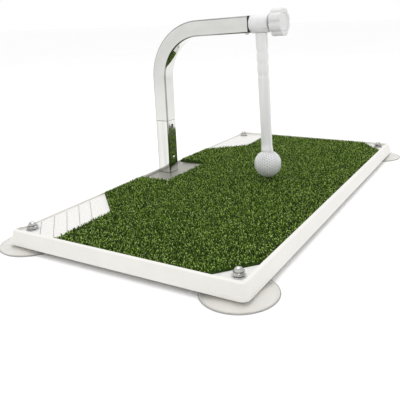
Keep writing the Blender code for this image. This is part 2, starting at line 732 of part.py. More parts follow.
def make_mast():
    tube = add_tube(bmesh.new(), mast_frames(), TUBE_WIDTH, TUBE_WALL, TUBE_CORNER)
    upper = finish("upper_mast", tube, CHROME)
    upper.parent = mast_frame
    hole = bmesh.new()
    below = hub_matrix_in_mast() @ at(0, 0, plug_screw_station()) @ Matrix.Rotation(math.pi / 2, 4, "X")
    add_prism(hole, circle(PLUG_SCREW_RADIUS + HOLE_CLEARANCE, 16), TUBE_WIDTH / 4, TUBE_WIDTH, below)
    cut(upper, "plug_screw_hole_cutter", hole)

    corner = max(TUBE_CORNER - TUBE_WALL, SMALLEST_CORNER) + GAP
    mesh = add_tube(bmesh.new(), upright(INSERT_BOTTOM, INSERT_TOP), INSERT_WIDTH, INSERT_WALL, corner)
    insert = finish("mast_insert", mesh, CHROME)
    insert.parent = mast_frame
    hole = bmesh.new()
    place = at(0, 0, HOLE_BOTTOM) @ FACING_FRONT
    add_prism(hole, circle(BUTTON_RADIUS + HOLE_CLEARANCE, 16), INSERT_WIDTH / 4, TUBE_WIDTH, place)
    cut(insert, "button_hole_cutter", hole)


def make_snap_button():
    front = -TUBE_WIDTH / 2
    inner_face = INSERT_WIDTH / 2 - INSERT_WALL
    flange_front = inner_face - GAP
    tip = -front + BUTTON_PROUD
    profile = [
        (0, flange_front - BUTTON_FLANGE), (BUTTON_FLANGE_RADIUS, flange_front - BUTTON_FLANGE),
        (BUTTON_FLANGE_RADIUS, flange_front), (BUTTON_RADIUS, flange_front),
        (BUTTON_RADIUS, tip - BUTTON_RADIUS * 0.45), (BUTTON_RADIUS * 0.85, tip - BUTTON_RADIUS * 0.2),
        (BUTTON_RADIUS * 0.5, tip - BUTTON_RADIUS * 0.05), (0, tip)]
    button = finish("snap_button", add_turned(bmesh.new(), profile, FACING_FRONT, 16), ZINC)
    button.parent = mast_frame
    button.location = (0, 0, HOLE_BOTTOM)

    # a leaf behind the button, bent round below and pressing on the back wall
    leaf = LEAF_THICKNESS / 2
    front_y = -(flange_front - BUTTON_FLANGE - GAP - leaf)
    back_y = inner_face - GAP - leaf
    bend = LEAF_BEND
    low = HOLE_BOTTOM - LEAF_DROP
    line = [Vector((front_y, HOLE_BOTTOM + LEAF_FRONT_RISE)), Vector((front_y, low + bend))]
    for step in range(1, 6):
        angle = math.pi + math.pi * 0.92 * step / 6
        line.append(Vector((front_y + bend + bend * math.cos(angle), low + bend + bend * math.sin(angle))))
    line.append(Vector((back_y, HOLE_BOTTOM + LEAF_BACK_RISE)))
    sides = ([], [])
    for i, point in enumerate(line):
        ahead = line[min(i + 1, len(line) - 1)] - line[max(i - 1, 0)]
        normal = Vector((-ahead.y, ahead.x)).normalized()
        sides[0].append(point + normal * leaf)
        sides[1].append(point - normal * leaf)
    outline = sides[0] + sides[1][::-1]
    half = LEAF_WIDTH / 2
    rings = [[(x, y, z) for y, z in outline] for x in (-half, half)]
    spring = finish("snap_spring", add_loft(bmesh.new(), rings), BRUSHED_STEEL)
    spring.parent = mast_frame


# ---------------------------------------------------------------- arm end: plug, axle, washer

def hub_matrix_in_mast():
    """Placement of arm pieces under the mast's empty: +Z forward, +Y up, origin at the hub."""
    offset_in_mast = HUB_CENTRE - Vector((0, MAST_Y, 0))
    tilt = Matrix.Rotation(-ARM_RISE, 4, "X")
    return Matrix.Translation(offset_in_mast) @ tilt @ ALONG_ARM


def plug_screw_station():
    return TUBE_END - PLUG_DEPTH * 0.45


def make_arm_end():
    core = TUBE_WIDTH / 2 - TUBE_WALL - GAP
    inner_corner = max(TUBE_CORNER - TUBE_WALL, SMALLEST_CORNER)
    plug_rear = TUBE_END - PLUG_DEPTH
    flange_rear = TUBE_END + GAP
    plug_front = flange_rear + PLUG_FLANGE
    narrow = rounded_rectangle(core, core, inner_corner)
    wide = rounded_rectangle(TUBE_WIDTH / 2, TUBE_WIDTH / 2, TUBE_CORNER)
    sections = [(narrow, plug_rear), (narrow, flange_rear), (wide, flange_rear), (wide, plug_front)]
    rings = [[ALONG_ARM @ Vector((x, y, s)) for x, y in outline] for outline, s in sections]
    plug = finish("arm_end_plug", add_loft(bmesh.new(), rings), BLACK_PLASTIC)
    plug.parent = hub_axis
    head_pocket = AXLE_HEAD_HEIGHT + GAP
    bore = circle(AXLE_RADIUS + HOLE_CLEARANCE, 20)
    through = add_prism(
        bmesh.new(), bore, plug_rear - CUTTER_REACH, plug_front + CUTTER_REACH, ALONG_ARM)
    cut(plug, "plug_bore_cutter", through)
    flat = AXLE_HEAD_ACROSS_FLATS / 2
    pocket = hexagonal_ring(flat + 2 * GAP, flat * 2, 12)
    pocket_front = plug_rear + head_pocket
    head_room = add_prism(bmesh.new(), pocket, plug_rear - CUTTER_REACH, pocket_front, ALONG_ARM)
    cut(plug, "plug_head_cutter", head_room)
    downward = ALONG_ARM @ at(0, 0, plug_screw_station()) @ Matrix.Rotation(math.pi / 2, 4, "X")
    screw_hole = circle(PLUG_SCREW_RADIUS + HOLE_CLEARANCE, 16)
    screw_tip = core - PLUG_SCREW_REACH
    screw_room = add_prism(bmesh.new(), screw_hole, screw_tip - GAP, core + CUTTER_REACH, downward)
    cut(plug, "plug_screw_cutter", screw_room)

    head_low = TUBE_WIDTH / 2 + GAP
    head_top = head_low + PLUG_SCREW_HEAD_HEIGHT
    profile = [(0, screw_tip), (PLUG_SCREW_RADIUS, screw_tip), (PLUG_SCREW_RADIUS, head_low),
               (PLUG_SCREW_HEAD, head_low), (PLUG_SCREW_HEAD, head_low + PLUG_SCREW_HEAD_EDGE),
               (PLUG_SCREW_HEAD * 0.6, head_top), (0, head_top)]
    screw = finish("plug_screw", add_turned(bmesh.new(), profile, downward, 16), ZINC)
    screw.parent = hub_axis

    head_front = plug_rear + AXLE_HEAD_HEIGHT
    count = 24
    head = hexagonal_ring(flat, flat * 2, count)
    sections = [
        (head, plug_rear), (head, head_front), (circle(AXLE_RADIUS, count), head_front),
        (circle(AXLE_RADIUS, count), AXLE_END - THREAD_CHAMFER),
        (circle(AXLE_RADIUS - THREAD_CHAMFER, count), AXLE_END)]
    rings = [[ALONG_ARM @ Vector((x, y, s)) for x, y in outline] for outline, s in sections]
    bolt = finish("axle_bolt", add_loft(bmesh.new(), rings), ZINC)
    bolt.parent = hub_axis

    low = HUB_FRONT + GAP
    bore_radius = AXLE_RADIUS + HOLE_CLEARANCE
    washer = finish("front_washer", add_turned(bmesh.new(), [
        (bore_radius, low), (FRONT_WASHER_RADIUS, low), (FRONT_WASHER_RADIUS, WASHER_FRONT),
        (bore_radius, WASHER_FRONT)], ALONG_ARM), ZINC)
    washer.parent = hub_axis


# ---------------------------------------------------------------- hub, bushes and strap

def make_hub():
    bush_outer = AXLE_RADIUS + HOLE_CLEARANCE + BUSH_WALL
    bore = bush_outer + GAP
    edge = HUB_ROUND
    seat = BUSH_FLANGE_RADIUS + GAP
    sink = BUSH_FLANGE + GAP
    profile = [
        (bore, HUB_REAR + sink), (seat, HUB_REAR + sink), (seat, HUB_REAR), (HUB_RADIUS - edge, HUB_REAR),
        (HUB_RADIUS - edge * 0.3, HUB_REAR + edge * 0.3), (HUB_RADIUS, HUB_REAR + edge),
        (HUB_RADIUS, HUB_FRONT - edge), (HUB_RADIUS - edge * 0.3, HUB_FRONT - edge * 0.3),
        (HUB_RADIUS - edge, HUB_FRONT), (seat, HUB_FRONT), (seat, HUB_FRONT - sink),
        (bore, HUB_FRONT - sink)]
    hub = finish("swing_hub", add_turned(bmesh.new(), profile, ALONG_ARM, 32), GREY_PLASTIC)
    hub.parent = hub_axis
    socket = rounded_rectangle(TONGUE_THICKNESS / 2 + GAP, TONGUE_WIDTH / 2 + GAP, TONGUE_CORNER)
    socket_room = add_prism(bmesh.new(), socket, -HUB_RADIUS - CUTTER_REACH, -tongue_top() + GAP)
    cut(hub, "strap_socket_cutter", socket_room)
    pin_hole = bmesh.new()
    pin_room = circle(STRAP_PIN_RADIUS + GAP, 12)
    add_prism(pin_hole, pin_room, pin_rear() - GAP, HUB_FRONT + CUTTER_REACH, pin_line())
    cut(hub, "pin_hole_cutter", pin_hole)

    inner = AXLE_RADIUS + HOLE_CLEARANCE
    for name, end, direction in (("hub_bush_rear", HUB_REAR, 1), ("hub_bush_front", HUB_FRONT, -1)):
        shoulder = end + direction * BUSH_FLANGE
        nose = end + direction * BUSH_LENGTH
        bush = finish(name, add_turned(bmesh.new(), [
            (inner, end), (BUSH_FLANGE_RADIUS, end), (BUSH_FLANGE_RADIUS, shoulder), (bush_outer, shoulder),
            (bush_outer, nose), (inner, nose)], ALONG_ARM, 20), NYLON)
        bush.parent = hub_axis


def tongue_top():
    """Distance of the strap tongue's end below the hub's axis."""
    return AXLE_RADIUS + HOLE_CLEARANCE + BUSH_WALL + GAP + HUB_INNER_WALL + GAP


def pin_rear():
    return -TONGUE_WIDTH / 2 - STRAP_PIN_PROUD


def pin_line():
    """Placement of the strap pin: parallel to the axle, through the middle of the tongue."""
    height = -(tongue_top() + HUB_RADIUS) / 2 - STRAP_PIN_DROP
    return ALONG_ARM @ at(0, height, 0)


def strap_section(distance):
    """Thickness and width of the strap at a distance below the hub's axis."""
    start = HUB_RADIUS
    end = BALL_DISTANCE - BALL_RADIUS
    share = (distance - start) / (end - start)
    thickness = STRAP_TOP_THICKNESS + (STRAP_END_THICKNESS - STRAP_TOP_THICKNESS) * share
    nearest = min(abs(distance - step) for step in STRAP_NECK_STEPS)
    waist = STRAP_WAIST * max(0.0, 1 - nearest / STRAP_WAIST_REACH)
    return thickness - 2 * waist, STRAP_WIDTH - 2 * waist


def make_strap():
    """One loft: tongue, shoulders that follow the hub, shaft, flare, and a tang for the ball."""
    ball_room = BALL_RADIUS + 1.5 * GAP
    saddle = HUB_RADIUS + 1.5 * GAP
    steps = 3
    count = 4 * (steps + 1)
    ball_centre = -BALL_DISTANCE
    rings = []

    def flat_ring(distance, outline):
        rings.append([(x, y, -distance) for x, y in outline])

    def ring_on_hub(outline):
        rings.append([(x, y, -math.sqrt(saddle ** 2 - x ** 2)) for x, y in outline])

    def ring_on_ball(outline):
        rings.append([(x, y, ball_centre + math.sqrt(ball_room ** 2 - x ** 2 - y ** 2)) for x, y in outline])

    tongue = rounded_rectangle(TONGUE_THICKNESS / 2, TONGUE_WIDTH / 2, TONGUE_CORNER, steps)
    flat_ring(tongue_top(), tongue)
    ring_on_hub(tongue)
    thickness, width = strap_section(HUB_RADIUS)
    ring_on_hub(rounded_rectangle(thickness / 2, width / 2, thickness * 0.36, steps))
    distances = [HUB_RADIUS + SHAFT_START]
    for step in STRAP_NECK_STEPS:
        distances += [step - STRAP_WAIST_REACH, step, step + STRAP_WAIST_REACH]
    shaft_end = BALL_DISTANCE - BALL_RADIUS - STRAP_FLARE_LENGTH
    distances += [(STRAP_NECK_STEPS[-1] + shaft_end) / 2, shaft_end]
    for distance in distances:
        thickness, width = strap_section(distance)
        flat_ring(distance, rounded_rectangle(thickness / 2, width / 2, thickness * 0.36, steps))
    half_x = thickness / 2 + STRAP_FLARE
    half_y = width / 2 + STRAP_FLARE / 2
    middle = rounded_rectangle(thickness / 2 + STRAP_FLARE * 0.3, width / 2, thickness * 0.4, steps)
    flat_ring(shaft_end + STRAP_FLARE_LENGTH * 0.6, middle)
    for share in (1.0, 0.5, 0.0):
        across = TANG_RADIUS + (half_x - TANG_RADIUS) * share
        along = TANG_RADIUS + (half_y - TANG_RADIUS) * share
        ring_on_ball([(x * across, y * along) for x, y in circle(1.0, count, 0.5)])
    flat_ring(tang_end(), circle(TANG_RADIUS, count, 0.5))
    flat_ring(tang_end(), circle(BALL_SCREW_RADIUS + GAP, count, 0.5))
    flat_ring(tang_end() - BALL_SCREW_REACH - GAP, circle(BALL_SCREW_RADIUS + GAP, count, 0.5))
    strap = finish("swing_strap", add_loft(bmesh.new(), rings), GREY_PLASTIC)
    strap.parent = hub_axis
    pin_round = circle(STRAP_PIN_RADIUS + GAP, 12)
    pin_hole = add_prism(bmesh.new(), pin_round, -STRAP_WIDTH, STRAP_WIDTH, pin_line())
    cut(strap, "strap_pin_hole_cutter", pin_hole)

    front = HUB_FRONT - GAP
    pin_mesh = add_prism(bmesh.new(), circle(STRAP_PIN_RADIUS, 12), pin_rear(), front, pin_line())
    pin = finish("strap_pin", pin_mesh, ZINC)
    pin.parent = hub_axis


def tang_end():
    """Distance of the strap tang's lower end below the hub's axis."""
    return BALL_DISTANCE - BALL_RADIUS + TANG_LENGTH


def make_ball():
    """A turned ball with a bore for the tang above and a screw pocket below."""
    tang_floor = BALL_RADIUS - TANG_LENGTH - GAP
    head_seat = -BALL_RADIUS + BALL_SCREW_SINK
    pocket = BALL_SCREW_HEAD + GAP
    bore = TANG_RADIUS + GAP
    low_turn = math.asin(pocket / BALL_RADIUS)
    high_turn = math.pi - math.asin(bore / BALL_RADIUS)
    steps = 14
    profile = []
    for step in range(steps + 1):
        turn = low_turn + (high_turn - low_turn) * step / steps
        profile.append((BALL_RADIUS * math.sin(turn), -BALL_RADIUS * math.cos(turn)))
    profile += [
        (bore, tang_floor), (BALL_SCREW_RADIUS + GAP, tang_floor), (BALL_SCREW_RADIUS + GAP, head_seat),
        (pocket, head_seat)]
    ball = finish("golf_ball", add_turned(bmesh.new(), profile), BALL_WHITE, 60)
    ball.parent = hub_axis
    ball.location = (0, 0, -BALL_DISTANCE)

    head_top = head_seat - GAP
    head_low = head_top - BALL_SCREW_HEAD_HEIGHT
    tip = BALL_RADIUS - TANG_LENGTH + BALL_SCREW_REACH
    profile = [
        (0, head_low), (BALL_SCREW_HEAD - BALL_SCREW_HEAD_ROUND, head_low),
        (BALL_SCREW_HEAD, head_low + BALL_SCREW_HEAD_ROUND), (BALL_SCREW_HEAD, head_top),
        (BALL_SCREW_RADIUS, head_top), (BALL_SCREW_RADIUS, tip - THREAD_CHAMFER), (0, tip)]
    screw = finish("ball_screw", add_turned(bmesh.new(), profile, count=16), ZINC)
    screw.parent = hub_axis
    screw.location = ball.location


# ---------------------------------------------------------------- knob

def lobed(radius, depth, count=64):
    """A round outline with rounded lobes, as a hand grips."""
    points = []
    for i in range(count):
        angle = 2 * math.pi * i / count
        wave = 0.5 - 0.5 * math.cos(KNOB_LOBES * angle)
        reach = radius - depth * (1 - wave) ** 3
        points.append((reach * math.cos(angle), reach * math.sin(angle)))
    return points


def make_knob():
    levels = [
        (KNOB_REAR, KNOB_NECK_RADIUS, 0.0), (KNOB_BODY, KNOB_NECK_RADIUS, 0.0),
        (KNOB_BODY, KNOB_RADIUS - KNOB_REAR_ROUND, KNOB_LOBE_DEPTH),
        (KNOB_BODY + KNOB_REAR_ROUND, KNOB_RADIUS, KNOB_LOBE_DEPTH),
        (KNOB_FRONT - KNOB_FRONT_ROUND, KNOB_RADIUS, KNOB_LOBE_DEPTH),
        (KNOB_FRONT, KNOB_RADIUS - KNOB_FRONT_ROUND, KNOB_LOBE_DEPTH)]
    rings = [[ALONG_ARM @ Vector((x, y, s)) for x, y in lobed(radius, depth)] for s, radius, depth in levels]
    knob = finish("clamp_knob", add_loft(bmesh.new(), rings), WHITE_PLASTIC)
    knob.parent = hub_axis

    insert_outer = AXLE_RADIUS + HOLE_CLEARANCE + KNOB_INSERT_WALL
    insert_front = CAP_REAR - 2 * GAP
    behind = KNOB_REAR - CUTTER_REACH
    beyond = KNOB_FRONT + CUTTER_REACH
    hollow = bmesh.new()
    add_turned(hollow, [
        (0, behind), (insert_outer + GAP, behind), (insert_outer + GAP, CAP_REAR - GAP),
        (KNOB_CAP_RADIUS + GAP, CAP_REAR - GAP), (KNOB_CAP_RADIUS + GAP, beyond), (0, beyond)], ALONG_ARM)
    cut(knob, "knob_bore_cutter", hollow)

    inner = AXLE_RADIUS + HOLE_CLEARANCE
    insert = finish("knob_insert", add_turned(bmesh.new(), [
        (inner, KNOB_REAR), (insert_outer, KNOB_REAR), (insert_outer, insert_front), (inner, insert_front)],
        ALONG_ARM, 20), BRASS)
    insert.parent = hub_axis

    cap_front = KNOB_FRONT - KNOB_CAP_SINK
    cap = finish("knob_cap", add_turned(bmesh.new(), [
        (0, CAP_REAR), (KNOB_CAP_RADIUS, CAP_REAR), (KNOB_CAP_RADIUS, cap_front - KNOB_CAP_ROUND),
        (KNOB_CAP_RADIUS - KNOB_CAP_ROUND, cap_front), (0, cap_front)], ALONG_ARM), GREY_PLASTIC)
    cap.parent = hub_axis


# ---------------------------------------------------------------- assembly

mast_frame = frame_empty("mast_frame", (0, MAST_Y, 0))
hub_axis = frame_empty("hub_axis", HUB_CENTRE, -ARM_RISE)

make_tray()
make_turf()
make_cups()
make_plate()
make_post()
make_mast()
make_snap_button()
make_arm_end()
make_hub()
make_strap()
make_ball()
make_knob()
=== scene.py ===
"""Looks of the golf swing trainer mat.

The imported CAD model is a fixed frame. Each visible piece is made here at a finer grain than the CAD, in the
place of the node that it stands for, and rides on that node's body. Sizes and places come from the frame.
Units are metres, +Z is up, and -Y is the side where the player stands.
"""

import json
import math

import bmesh
import bpy
import numpy as np
from mathutils import Matrix, Vector


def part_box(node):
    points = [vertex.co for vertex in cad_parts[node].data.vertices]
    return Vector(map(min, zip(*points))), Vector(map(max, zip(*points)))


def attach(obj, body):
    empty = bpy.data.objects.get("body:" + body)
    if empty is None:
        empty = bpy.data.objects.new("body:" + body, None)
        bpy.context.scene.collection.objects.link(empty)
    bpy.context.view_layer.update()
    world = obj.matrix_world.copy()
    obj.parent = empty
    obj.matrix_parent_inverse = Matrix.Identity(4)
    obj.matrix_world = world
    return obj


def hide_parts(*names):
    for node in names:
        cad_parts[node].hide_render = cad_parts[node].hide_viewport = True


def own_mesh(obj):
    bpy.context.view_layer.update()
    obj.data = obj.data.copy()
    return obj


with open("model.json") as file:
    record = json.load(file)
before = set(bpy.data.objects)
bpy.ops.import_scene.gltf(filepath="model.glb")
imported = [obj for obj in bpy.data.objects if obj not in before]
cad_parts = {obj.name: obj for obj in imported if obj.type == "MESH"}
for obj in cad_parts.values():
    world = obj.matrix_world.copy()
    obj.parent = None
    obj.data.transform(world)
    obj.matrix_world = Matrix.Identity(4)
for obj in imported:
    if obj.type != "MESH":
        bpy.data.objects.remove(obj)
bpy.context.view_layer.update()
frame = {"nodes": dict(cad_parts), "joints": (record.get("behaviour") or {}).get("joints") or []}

CORNERS = ("front_left", "front_right", "rear_left", "rear_right")
random = np.random.default_rng(7)

# ---------------------------------------------------------------- sizes that the frame doesn't name

# tray and turf
PAD_DROP = 0.0045          # corner pads below the rim
TURF_POCKET = 0.0035       # turf pocket below the pads
PILE = 0.0034              # fibres above the backing
FIBRE_SPACING = 0.00182
FIBRE_OVERHANG = 0.0004    # how far a fibre may lean past the turf's edge

# cups and acorn nuts
CUP_DOME = 0.0056          # height of a cup beside its neck
CUP_WALL = 0.0016
CUP_NECK = 0.0115
STUD_BORE = 0.0043         # radius of a cup's and a nut's bore
STUD_HEAD = 0.0073         # radius of the pocket for a stud's head
NUT_FLAT = 0.0065          # from the middle to a flat
NUT_BODY = 0.0040          # height of the hexagon
NUT_POINTS = 48

# post and mast
TUBE_WALL = 0.0015
TUBE_CORNER = 0.0026
TUBE_LIP = 0.0003          # broken edge at a tube's open end
BEND_RADIUS = 0.080
BEND_STEPS = 48
HOLE_COUNT = 5
HOLE_PITCH = 0.014
HOLE_RADIUS = 0.0033
BUTTON_RADIUS = 0.003

# hub, strap and knob
GAP = 0.0003               # between pieces that touch, as in the CAD
SEAT_GAP = 1.5 * GAP       # between the strap and what it sits on
HUB_RADIUS = 0.0137
HUB_BORE = 0.0068
BUSH_SEAT_RADIUS = 0.0085
BUSH_SEAT_DEPTH = 0.0018
BUSH_FLANGE = 0.0082
BUSH_FLANGE_DEPTH = 0.0015
BUSH_RADIUS = 0.0063
AXLE_BORE = 0.0043         # through the bushes and the front washer
FRONT_WASHER_RADIUS = 0.0105
WAIST_DISTANCES = (0.041, 0.058, 0.076)
WAIST_DEPTH = 0.0008
WAIST_REACH = 0.006        # from a waist to where the strap is full again
STRAP_THICKNESS = 0.0100   # at the hub
STRAP_TAPER = 0.0036       # lost by the time it meets the ball
STRAP_HALF_WIDTH = 0.0087
STRAP_START = 0.0142       # where the shaft begins, from the hub's axis
STRAP_FLARE = 0.0026
STRAP_ROUNDNESS = 0.62
KNOB_RADIUS = 0.0205
KNOB_LOBE_DEPTH = 0.0024
KNOB_BORE = 0.0068
KNOB_NECK = 0.0030         # length of the neck behind the lobes
KNOB_CAP_POCKET = 0.0025
KNOB_CAP_RADIUS = 0.0128

# ball
BALL_RADIUS = 0.02135
DIMPLE_DEPTH = 0.00045
DIMPLE_RADIUS = 0.00185
TANG_BORE = 0.0045
TANG_DEPTH = 0.0133        # of the bore that the strap's tang enters
SCREW_POCKET = 0.0037
SCREW_POCKET_DEPTH = 0.0052
SCREW_BORE = 0.0019

# ---------------------------------------------------------------- places read from the frame

def box(node):
    """A node's low corner, high corner and middle."""
    low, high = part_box(node)
    return low, high, (low + high) / 2


def joint_named(name):
    return next(joint for joint in frame["joints"] if joint["name"] == name)


TRAY_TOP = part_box("base_tray")[1].z
TURF_LOW, TURF_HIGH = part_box("turf_mat")
POST_LOW, POST_HIGH, POST = box("lower_post")
SWING = joint_named("arm_swing")
HUB = Vector(SWING["pos_m"])
FORWARD = Vector(SWING["axis"])

# +Z of this placement points forward along the hub's axis, and +Y points up.
ARM_RISE = math.asin(FORWARD.z)
AT_HUB = (Matrix.Translation(HUB) @ Matrix.Rotation(-ARM_RISE, 4, "X")
          @ Matrix(((1, 0, 0), (0, 0, -1), (0, 1, 0))).to_4x4())


def stations(node):
    """How far a node reaches along the hub's axis, from its rear to its front."""
    along = [(vertex.co - HUB).dot(FORWARD) for vertex in frame["nodes"][node].data.vertices]
    return min(along), max(along)


# ---------------------------------------------------------------- materials

def new_material(name, sockets):
    """A material with the shader's named sockets set."""
    made = bpy.data.materials.new(name)
    made.use_nodes = True
    shader = made.node_tree.nodes["Principled BSDF"]
    for socket, value in sockets.items():
        shader.inputs[socket.replace("_", " ").title().replace("Ior", "IOR")].default_value = value
    return made, made.node_tree, shader


def add_noise(tree, place, scale, detail):
    noise = tree.nodes.new("ShaderNodeTexNoise")
    noise.inputs["Scale"].default_value = scale
    noise.inputs["Detail"].default_value = detail
    tree.links.new(place, noise.inputs["Vector"])
    return noise.outputs["Fac"]


def drive_colour(tree, shader, source, stops):
    """Colours the shader by a value from 0 to 1, through stops of (place, colour)."""
    ramp = tree.nodes.new("ShaderNodeValToRGB")
    elements = ramp.color_ramp.elements
    elements.remove(elements[1])
    elements[0].position = stops[0][0]
    elements[0].color = (*stops[0][1], 1)
    for position, colour in stops[1:]:
        elements.new(position).color = (*colour, 1)
    tree.links.new(source, ramp.inputs["Fac"])
    tree.links.new(ramp.outputs["Color"], shader.inputs["Base Color"])


def drive_roughness(tree, shader, source, span, roughness):
    """Takes the roughness from one value to another while the source crosses the span."""
    gloss = tree.nodes.new("ShaderNodeMapRange")
    gloss.inputs["From Min"].default_value = span[0]
    gloss.inputs["From Max"].default_value = span[1]
    gloss.inputs["To Min"].default_value = roughness[0]
    gloss.inputs["To Max"].default_value = roughness[1]
    tree.links.new(source, gloss.inputs["Value"])
    tree.links.new(gloss.outputs["Result"], shader.inputs["Roughness"])


def surface(name, light, dark, roughness, scale=60.0, stretch=(1, 1, 1), metallic=0.0, grain=0.0,
            grain_scale=900.0, patch=(0.35, 0.65), **sockets):
    """A material whose colour and roughness drift with soft noise, over a fine grain."""
    made, tree, shader = new_material(name, sockets)
    shader.inputs["Metallic"].default_value = metallic
    place = tree.nodes.new("ShaderNodeTexCoord")
    mapping = tree.nodes.new("ShaderNodeMapping")
    mapping.inputs["Scale"].default_value = stretch
    tree.links.new(place.outputs["Object"], mapping.inputs["Vector"])

    drift = add_noise(tree, mapping.outputs["Vector"], scale, 4)
    drive_colour(tree, shader, drift, [(patch[0], dark), (patch[1], light)])
    drive_roughness(tree, shader, drift, (0.3, 0.7), roughness)
    if grain:
        bump = tree.nodes.new("ShaderNodeBump")
        bump.inputs["Strength"].default_value = grain
        bump.inputs["Distance"].default_value = 0.0002
        fine = add_noise(tree, mapping.outputs["Vector"], grain_scale, 3)
        tree.links.new(fine, bump.inputs["Height"])
        tree.links.new(bump.outputs["Normal"], shader.inputs["Normal"])
    return made


def shaded_surface(name, stops, scale, roughness, **sockets):
    """A material coloured by the mesh's own "shade", from 0 to 1, with soft noise in its roughness."""
    made, tree, shader = new_material(name, sockets)
    shade = tree.nodes.new("ShaderNodeAttribute")
    shade.attribute_name = "shade"
    drive_colour(tree, shader, shade.outputs["Fac"], stops)
    place = tree.nodes.new("ShaderNodeTexCoord")
    noise = add_noise(tree, place.outputs["Object"], scale, 2)
    drive_roughness(tree, shader, noise, (0, 1), roughness)
    return made


# plastics
TRAY_PLASTIC = surface("tray_plastic", (0.79, 0.775, 0.735), (0.765, 0.75, 0.71), (0.34, 0.46), 35,
                       grain=0.25, coat_weight=0.12, coat_roughness=0.3)
TRAY_PAD = surface("tray_pad", (0.80, 0.79, 0.77), (0.71, 0.70, 0.68), (0.45, 0.6), 420, grain=0.9,
                   grain_scale=620, patch=(0.42, 0.58))
# painted shade: a darker grey for the grooves in the pads, where shade falls
TRAY_GROOVE_SHADE = surface("tray_groove_painted_shade", (0.50, 0.49, 0.48), (0.42, 0.41, 0.40), (0.5, 0.65), 200, grain=0.3)
HUB_PLASTIC = surface("hub_plastic", (0.75, 0.75, 0.75), (0.70, 0.70, 0.70), (0.32, 0.45), 120, grain=0.2)
STRAP_PLASTIC = surface("strap_plastic", (0.84, 0.84, 0.835), (0.74, 0.74, 0.735), (0.34, 0.5), 300,
                        (1, 1, 0.03), grain=0.3)
KNOB_PLASTIC = surface("knob_plastic", (0.70, 0.70, 0.695), (0.655, 0.655, 0.65), (0.3, 0.42), 120,
                       grain=0.2)
BLACK_PLASTIC = surface("black_plastic", (0.03, 0.03, 0.03), (0.015, 0.015, 0.015), (0.4, 0.6), 150,
                        grain=0.4)
NYLON = surface("nylon", (0.85, 0.84, 0.79), (0.79, 0.78, 0.72), (0.4, 0.55), 200, grain=0.3)

# metals
CHROME = surface("chrome_plate", (0.69, 0.69, 0.665), (0.65, 0.65, 0.625), (0.03, 0.07), 40, metallic=1.0)
CHROME_POST = surface("chrome_post", (0.78, 0.78, 0.75), (0.64, 0.64, 0.61), (0.06, 0.11), 180, (1, 1, 0.06),
                      metallic=1.0)
NUT_STEEL = surface("nut_steel", (0.60, 0.60, 0.58), (0.40, 0.40, 0.39), (0.04, 0.09), 160, metallic=1.0)
# painted reflection: a darker chrome for the tubes' rounded corners
CHROME_CORNER_REFLECTION = surface("chrome_corner_painted_reflection", (0.36, 0.36, 0.35), (0.28, 0.28, 0.27), (0.08, 0.15), 40,
                        metallic=1.0)
PLATE_STEEL = surface("plate_steel", (0.42, 0.41, 0.37), (0.31, 0.30, 0.265), (0.28, 0.45), 260,
                      (0.04, 1, 1), metallic=1.0, grain=0.3)
ZINC = surface("zinc_plate", (0.72, 0.73, 0.75), (0.62, 0.63, 0.66), (0.22, 0.36), 400, metallic=1.0,
               grain=0.15)
BRASS = surface("brass", (0.80, 0.62, 0.30), (0.70, 0.52, 0.24), (0.25, 0.4), 300, metallic=1.0, grain=0.15)
# painted shade: the insert is coloured dark so that the post's holes look shaded inside
DULL_ZINC_PAINTED_SHADE = surface("zinc_insert_painted_shade", (0.32, 0.32, 0.33), (0.24, 0.24, 0.25), (0.35, 0.5), 300, metallic=1.0,
                    grain=0.15)

# stage
FLOOR_WHITE = surface("floor_white", (0.985, 0.985, 0.985), (0.975, 0.975, 0.975), (0.8, 0.9), 2,
                      specular_ior_level=0.1)

# green fibres, darker towards the root as painted shade
TURF_FIBRE = shaded_surface(
    "turf_fibre",
    [(0.00, (0.006, 0.014, 0.001)), (0.20, (0.030, 0.065, 0.004)), (0.50, (0.175, 0.310, 0.026)),
     (0.80, (0.420, 0.620, 0.120)), (1.00, (0.860, 0.950, 0.480))],
    250, (0.5, 0.8), specular_ior_level=0.15)

# white cover, a little darker down in its dimples as painted shade
BALL_COVER = shaded_surface(
    "ball_cover", [(0.0, (0.75, 0.75, 0.755)), (0.35, (0.66, 0.66, 0.665)), (1.0, (0.50, 0.50, 0.505))],
    90, (0.22, 0.34), coat_weight=0.3, coat_roughness=0.15)

# clear soft plastic, which is coloured darker through its edge as painted shade
CUP_PVC = shaded_surface(
    "cup_pvc", [(0.0, (0.88, 0.86, 0.815)), (0.5, (0.76, 0.74, 0.69)), (1.0, (0.22, 0.215, 0.20))],
    70, (0.10, 0.22), alpha=0.6, specular_ior_level=0.7, coat_weight=0.5, coat_roughness=0.08)


# ---------------------------------------------------------------- mesh helpers

SHARP_BEVELLED = 50        # degrees; a bevelled piece is smooth round its broken edges


def finish(node, mesh, material, body, sharp_degrees=32, bevel=0.0):
    """Turns a bmesh into a piece that rides on a body and stands for a CAD node."""
    name = f"{node}_piece"
    bmesh.ops.recalc_face_normals(mesh, faces=mesh.faces)
    if bevel:
        edges = [edge for edge in mesh.edges
                 if len(edge.link_faces) == 2 and edge.calc_face_angle(0) > math.radians(sharp_degrees)]
        bmesh.ops.bevel(mesh, geom=edges, offset=bevel, segments=2, profile=0.5, affect="EDGES",
                        clamp_overlap=True)
    data = bpy.data.meshes.new(name)
    mesh.to_mesh(data)
    mesh.free()
    data.materials.append(material)
    data.shade_smooth()
    data.set_sharp_from_angle(angle=math.radians(SHARP_BEVELLED if bevel else sharp_degrees))
    piece = bpy.data.objects.new(name, data)
    bpy.context.scene.collection.objects.link(piece)
    if bevel:
        piece.modifiers.new("even_shading", "WEIGHTED_NORMAL").keep_sharp = True
    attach(piece, body)
    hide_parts(node)
    return piece


def circle(radius, count, phase=0.0):
    """Points round a circle, turned on by a share of their spacing."""
    angles = [2 * math.pi * (i + phase) / count for i in range(count)]
    return [(radius * math.cos(angle), radius * math.sin(angle)) for angle in angles]


